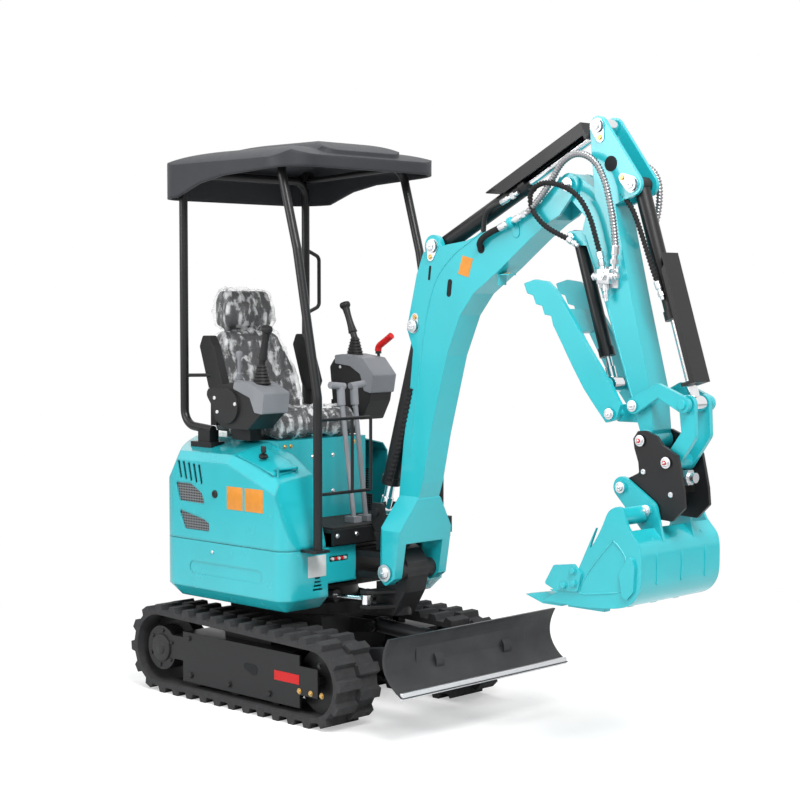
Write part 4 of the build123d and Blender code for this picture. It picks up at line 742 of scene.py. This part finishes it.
def house_details():
    """The hood's lock, blank plates, the skirt's fittings, and bolts on the bodywork."""
    plates = bmesh.new()
    for x0, x1 in HOOD_PLATES:
        box_mesh(plates, at(x0, -HOOD_SIDE - PLATE_THICK, 858), at(x1, -HOOD_SIDE, 956), 0.0006)
    new_piece("hood_blank_plates", plates, ORANGE, "house")
    sign = bmesh.new()
    box_mesh(sign, at(346.5, -365, 587), at(346.5 + PLATE_THICK, -262, 677), 0.0006)
    new_piece("skirt_blank_plate", sign, WHITE, "house")
    lock = bmesh.new()
    barrel = [(0, 0.017), (0.005, 0.017), (0.007, 0.014), (0.007, 0.0095), (0.004, 0.009)]
    lathe(lock, at(-98, -494, 916), RIGHT, barrel, 32)
    new_piece("hood_locks", lock, MATERIALS["black_plastic"], "house")
    white, red = bmesh.new(), bmesh.new()
    for i, y in enumerate(SKIRT_FITTINGS):
        nozzle = [(0, 0.007), (0.012, 0.007), (0.014, 0.004)]
        lathe(red if i % 2 else white, at(338, y, 653), FRONT, nozzle, 16)
    new_piece("skirt_fittings_white", white, WHITE, "house")
    new_piece("skirt_fittings_red", red, MATERIALS["red_plastic"], "house")
    bolts = bmesh.new()
    hexbolt(bolts, at(-117, -493, 664), RIGHT, 0.008)
    for y in SKIRT_BOLTS:
        hexbolt(bolts, at(387, y, 756), FRONT, 0.008)
    for y in (-180, -60, 60, 180):
        for z in (900, 1060):
            hexbolt(bolts, at(SEAT_FRONT_X, y, z), FRONT, 0.007)
    new_piece("house_bolts", bolts, ZINC, "house")


# Screws on each console: X, Y and Z in millimetres
RIGHT_SCREWS = ((-196, -414, 1322), (-178, -414, 1262), (-60, -414, 1300), (60, -402, 1330))
LEFT_SCREWS = ((-120, 268, 1440), (10, 268, 1440), (-30, 268, 1260))
SMALL_LEVER = (-128, -330)
BOOT_FOLDS = 5
BOOT_FOLD_MM = 9
BOOT_TAPER = 0.003


def console_details():
    """The consoles' screws, the small lever with its boot, and bolts at the front of the seat's base."""
    screws = bmesh.new()
    for place in RIGHT_SCREWS:
        button(screws, at(*place), RIGHT, 0.008)
    for place in LEFT_SCREWS:
        button(screws, at(*place), RIGHT, 0.007)
    new_piece("console_screws", screws, WHITE, "house")
    lever = bmesh.new()
    for i in range(BOOT_FOLDS):
        fold = [(0, 0.026 - BOOT_TAPER * i), (0.009, 0.018 - BOOT_TAPER * i)]
        lathe(lever, at(*SMALL_LEVER, 1386 + BOOT_FOLD_MM * i), UP, fold, 20)
    knob = [(0, 0.008), (0.06, 0.0085), (0.075, 0.015), (0.09, 0.015), (0.097, 0.01)]
    lathe(lever, at(*SMALL_LEVER, 1428), UP, knob, 20)
    new_piece("small_lever", lever, MATERIALS["grey_plastic"], "house")
    bolts = bmesh.new()
    for y in (-225, -190, 190, 225):
        hexbolt(bolts, at(SEAT_FRONT_X, y, 1112), FRONT, 0.007)
    new_piece("seat_bolts", bolts, BRASS, "house")


def lever_grip():
    """The red sleeve and end of the locking lever."""
    y = (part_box("lock_lever")[1][1] - 0.014) * 1000
    line = [(-24, y, 1512), (-25, y, 1532), (4, y, 1548), (62, y, 1584)]
    hose("lever_grip", line, 0.0155, MATERIALS["red_plastic"], "house")


def soft_copy(name, node, voxel, rounds):
    """A copy of a CAD solid, remeshed and smoothed until its edges look padded."""
    mesh = NODES[node].data.copy()
    made = bpy.data.objects.new(name, mesh)
    bpy.context.scene.collection.objects.link(made)
    remesh = made.modifiers.new("even", "REMESH")
    remesh.mode = "VOXEL"
    remesh.voxel_size = voxel
    smooth = made.modifiers.new("soft", "SMOOTH")
    smooth.factor = 0.5
    smooth.iterations = rounds
    evaluated = made.evaluated_get(bpy.context.evaluated_depsgraph_get())
    baked = bpy.data.meshes.new_from_object(evaluated)
    made.modifiers.clear()
    made.data = baked
    made.data.materials.clear()
    made.data.shade_smooth()
    return made


# Places and depths on the seat in metres
SEAM_Y = 0.13
SEAM_HALF = 0.006
SEAM_DEPTH = 0.006
FILM_GAP = 0.008
CREASE_RISE = 0.014
FINE_RISE = 0.004


def crease(where):
    """How near a point is to the ridge of a fold: 1 on the ridge, 0 or less away from it."""
    return 1 - 2 * abs(noise.noise(where)) ** 0.6


def seat_pads():
    """The seat's vinyl pads with sewn channels, and the crinkled wrapping over them."""
    pads = soft_copy("seat_pads", "seat", 0.009, 10)
    for vert in pads.data.vertices:
        channel = math.exp(-((abs(vert.co.y) - SEAM_Y) / SEAM_HALF) ** 2)
        vert.co -= vert.normal * (SEAM_DEPTH * channel)
    pads.data.materials.append(MATERIALS["seat_vinyl"])
    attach(pads, "house")
    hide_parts("seat")
    film = soft_copy("seat_wrap", "seat", 0.008, 16)
    normals = [vert.normal.copy() for vert in film.data.vertices]
    for vert, normal in zip(film.data.vertices, normals):
        where = Vector((vert.co.x * 9, vert.co.y * 13, vert.co.z * 7))
        folds, fine = max(crease(where), 0), max(crease(where * 3.1), 0)
        vert.co += normal * (FILM_GAP + CREASE_RISE * folds + FINE_RISE * fine)
    film.data.materials.append(FILM)
    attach(film, "house")


# Undercarriage, with places in X and Z in millimetres

MOTOR = (-495, 196)
MOTOR_BOLTS = 6
MOTOR_BOLT_CIRCLE = 78
MOTOR_COVER = [(0, 0.062), (0.007, 0.06), (0.01, 0.05), (0.01, 0.03), (0.013, 0.028), (0.015, 0.022)]
TRACK_BOLTS = ((-290, 100), (-30, 100), (230, 100))
AXLE_BOLTS = ((-300, 262), (540, 262))
END_BOLTS = ((416, 140), (485, 140), (551, 140))
TRACK_PLATE = [(262, 206), (416, 206), (416, 166), (262, 166)]


def track_details(name, sign, way):
    """Bolts, the motor's cover, a dark patch painted as the shade inside an opening, and a blank plate on
    the outside of one track frame.
    """
    y = sign * TRACK_SIDE
    bolts = bmesh.new()
    for x, z in TRACK_BOLTS:
        hexbolt(bolts, at(x, y, z), way, 0.012)
    for x, z in AXLE_BOLTS:
        hexbolt(bolts, at(x, y, z), way, 0.01)
    for i in range(MOTOR_BOLTS):
        angle = 2 * math.pi * i / MOTOR_BOLTS + 0.4
        x = MOTOR[0] + MOTOR_BOLT_CIRCLE * math.cos(angle)
        z = MOTOR[1] + MOTOR_BOLT_CIRCLE * math.sin(angle)
        hexbolt(bolts, at(x, y, z), way, 0.008)
    new_piece(f"track_bolts_{name}", bolts, MATERIALS["black_paint"], "undercarriage")
    brass = bmesh.new()
    for x, z in END_BOLTS:
        hexbolt(brass, at(x, y, z), way, 0.009)
    new_piece(f"track_end_bolts_{name}", brass, BRASS, "undercarriage")
    cover = bmesh.new()
    lathe(cover, at(MOTOR[0], y, MOTOR[1]), way, MOTOR_COVER, 40)
    new_piece(f"motor_cover_{name}", cover, MATERIALS["cast_iron"], "undercarriage")
    # A dark patch: painted shade standing in for the inside of the opening
    shade_patch = bmesh.new()
    slab(shade_patch, drop_outline((80, 196), 14, (130, 186), 24), y, y + sign * 1.2)
    new_piece(f"track_opening_shade_{name}", shade_patch, PAINTED_HOLE_SHADE, "undercarriage")
    plate = bmesh.new()
    slab(plate, TRACK_PLATE, y, y + sign * 1.5)
    new_piece(f"track_blank_plate_{name}", plate, MATERIALS["red_plastic"], "undercarriage")


BLADE_ARM_Y = 205
BLADE_BOLT_OFF = 16
STRIP_INSET = 0.002
STRIP_RISE = 0.03


def blade_details():
    """The strip of the cutting edge, and the bolts on top of the blade's two arms."""
    low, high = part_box("blade")
    strip_low = (high[0] - 0.022, low[1] + STRIP_INSET, low[2] + STRIP_INSET)
    strip_high = (high[0] - 0.006, high[1] - STRIP_INSET, low[2] + STRIP_RISE)
    edge = bmesh.new()
    box_mesh(edge, strip_low, strip_high, 0.003)
    new_piece("blade_edge_strip", edge, ZINC, "blade")
    bolts = bmesh.new()
    for y in (-BLADE_ARM_Y, BLADE_ARM_Y):
        for off in (-BLADE_BOLT_OFF, BLADE_BOLT_OFF):
            hexbolt(bolts, at(880, y + off, 352), UP, 0.008)
    new_piece("blade_bolts", bolts, BRASS, "blade")


# Stage, in metres and watts

FLOOR_SIZE = 60
FLOOR_GLOW = 0.42
FADE_START = 1.3
FADE_END = 3.6
SKY_STRENGTH = 0.42

# Each lamp's name, place, height of its aim above the origin, size and power
LAMPS = (
    ("key", (4.2, -2.2, 5.8), 1.1, 2.6, 400),
    ("side", (-2.5, -6.0, 3.5), 1.0, 3.0, 190),
    ("top", (-0.5, 0.5, 6.5), 1.0, 5.0, 160),
)


def floor():
    """A pale floor that takes the object's shadow and fades to white away from it."""
    bpy.ops.mesh.primitive_plane_add(size=FLOOR_SIZE)
    plane = bpy.context.object
    plane.name = "floor"
    look = Look("floor", (0.7, 0.7, 0.7), 0.9)
    glow = look.node("ShaderNodeEmission")
    glow.inputs["Strength"].default_value = FLOOR_GLOW
    lit = look.node("ShaderNodeAddShader")
    look.link(look.shader.outputs[0], lit.inputs[0])
    look.link(glow.outputs[0], lit.inputs[1])
    white = look.node("ShaderNodeEmission")
    reach = look.node("ShaderNodeVectorMath", operation="LENGTH")
    look.link(look.node("ShaderNodeNewGeometry").outputs["Position"], reach.inputs[0])
    fade = look.node("ShaderNodeMapRange", interpolation_type="SMOOTHSTEP")
    fade.inputs["From Min"].default_value = FADE_START
    fade.inputs["From Max"].default_value = FADE_END
    look.link(reach.outputs["Value"], fade.inputs["Value"])
    far = look.node("ShaderNodeMixShader")
    look.link(fade.outputs["Result"], far.inputs["Fac"])
    look.link(lit.outputs[0], far.inputs[1])
    look.link(white.outputs[0], far.inputs[2])
    plain_floor = look.node("ShaderNodeBsdfDiffuse")
    plain_floor.inputs["Color"].default_value = (0.8, 0.8, 0.8, 1.0)
    seen = look.node("ShaderNodeMixShader")
    look.link(look.node("ShaderNodeLightPath").outputs["Is Camera Ray"], seen.inputs["Fac"])
    look.link(plain_floor.outputs[0], seen.inputs[1])
    look.link(far.outputs[0], seen.inputs[2])
    look.link(seen.outputs[0], look.tree.nodes["Material Output"].inputs["Surface"])
    plane.data.materials.append(look.material)


def white_world():
    """Even white light, with a white background for the camera and in reflections."""
    world = bpy.data.worlds.new("studio")
    bpy.context.scene.world = world
    world.use_nodes = True
    tree = world.node_tree
    light = tree.nodes["Background"]
    shown = tree.nodes.new("ShaderNodeBackground")
    for background, strength in ((light, SKY_STRENGTH), (shown, 1.0)):
        background.inputs["Color"].default_value = (1.0, 1.0, 1.0, 1.0)
        background.inputs["Strength"].default_value = strength
    path = tree.nodes.new("ShaderNodeLightPath")
    seen = path.outputs["Is Camera Ray"]
    for ray in ("Is Glossy Ray", "Is Transmission Ray"):
        either = tree.nodes.new("ShaderNodeMath")
        either.operation = "MAXIMUM"
        tree.links.new(seen, either.inputs[0])
        tree.links.new(path.outputs[ray], either.inputs[1])
        seen = either.outputs[0]
    mix = tree.nodes.new("ShaderNodeMixShader")
    tree.links.new(seen, mix.inputs["Fac"])
    tree.links.new(light.outputs[0], mix.inputs[1])
    tree.links.new(shown.outputs[0], mix.inputs[2])
    tree.links.new(mix.outputs[0], tree.nodes["World Output"].inputs["Surface"])


def lamp(name, where, aim, size, power):
    """A soft square lamp aimed at a point."""
    data = bpy.data.lights.new(name, "AREA")
    data.size = size
    data.energy = power
    made = bpy.data.objects.new(name, data)
    made.location = where
    made.rotation_mode = "QUATERNION"
    made.rotation_quaternion = (Vector(aim) - Vector(where)).to_track_quat("-Z", "Y")
    bpy.context.scene.collection.objects.link(made)


def camera():
    """The camera at the photograph's place and angle."""
    data = bpy.data.cameras.new("camera")
    data.lens = CAMERA_LENS
    data.sensor_width = SENSOR
    data.clip_end = 100
    made = bpy.data.objects.new("camera", data)
    level = math.cos(CAMERA_PITCH)
    back = Vector((math.sin(CAMERA_AZIMUTH) * level, -math.cos(CAMERA_AZIMUTH) * level,
                   math.sin(CAMERA_PITCH)))
    made.location = CAMERA_AT
    made.rotation_mode = "QUATERNION"
    made.rotation_quaternion = (-back).to_track_quat("-Z", "Y")
    bpy.context.scene.collection.objects.link(made)
    bpy.context.scene.camera = made


def studio():
    """Floor, world, lamps and camera, shown by the Standard view transform."""
    floor()
    white_world()
    for name, where, aim_height, size, power in LAMPS:
        lamp(name, where, (0, 0, aim_height), size, power)
    camera()
    bpy.context.scene.view_settings.view_transform = "Standard"


dress_nodes()
linkage_pins()
keeper_plates()
boom_details()
arm_details()
linkage_hoses()
bucket_details()
house_details()
fuel_lock()
console_details()
lever_grip()
seat_pads()
for side in SIDES:
    track_details(*side)
blade_details()
studio()
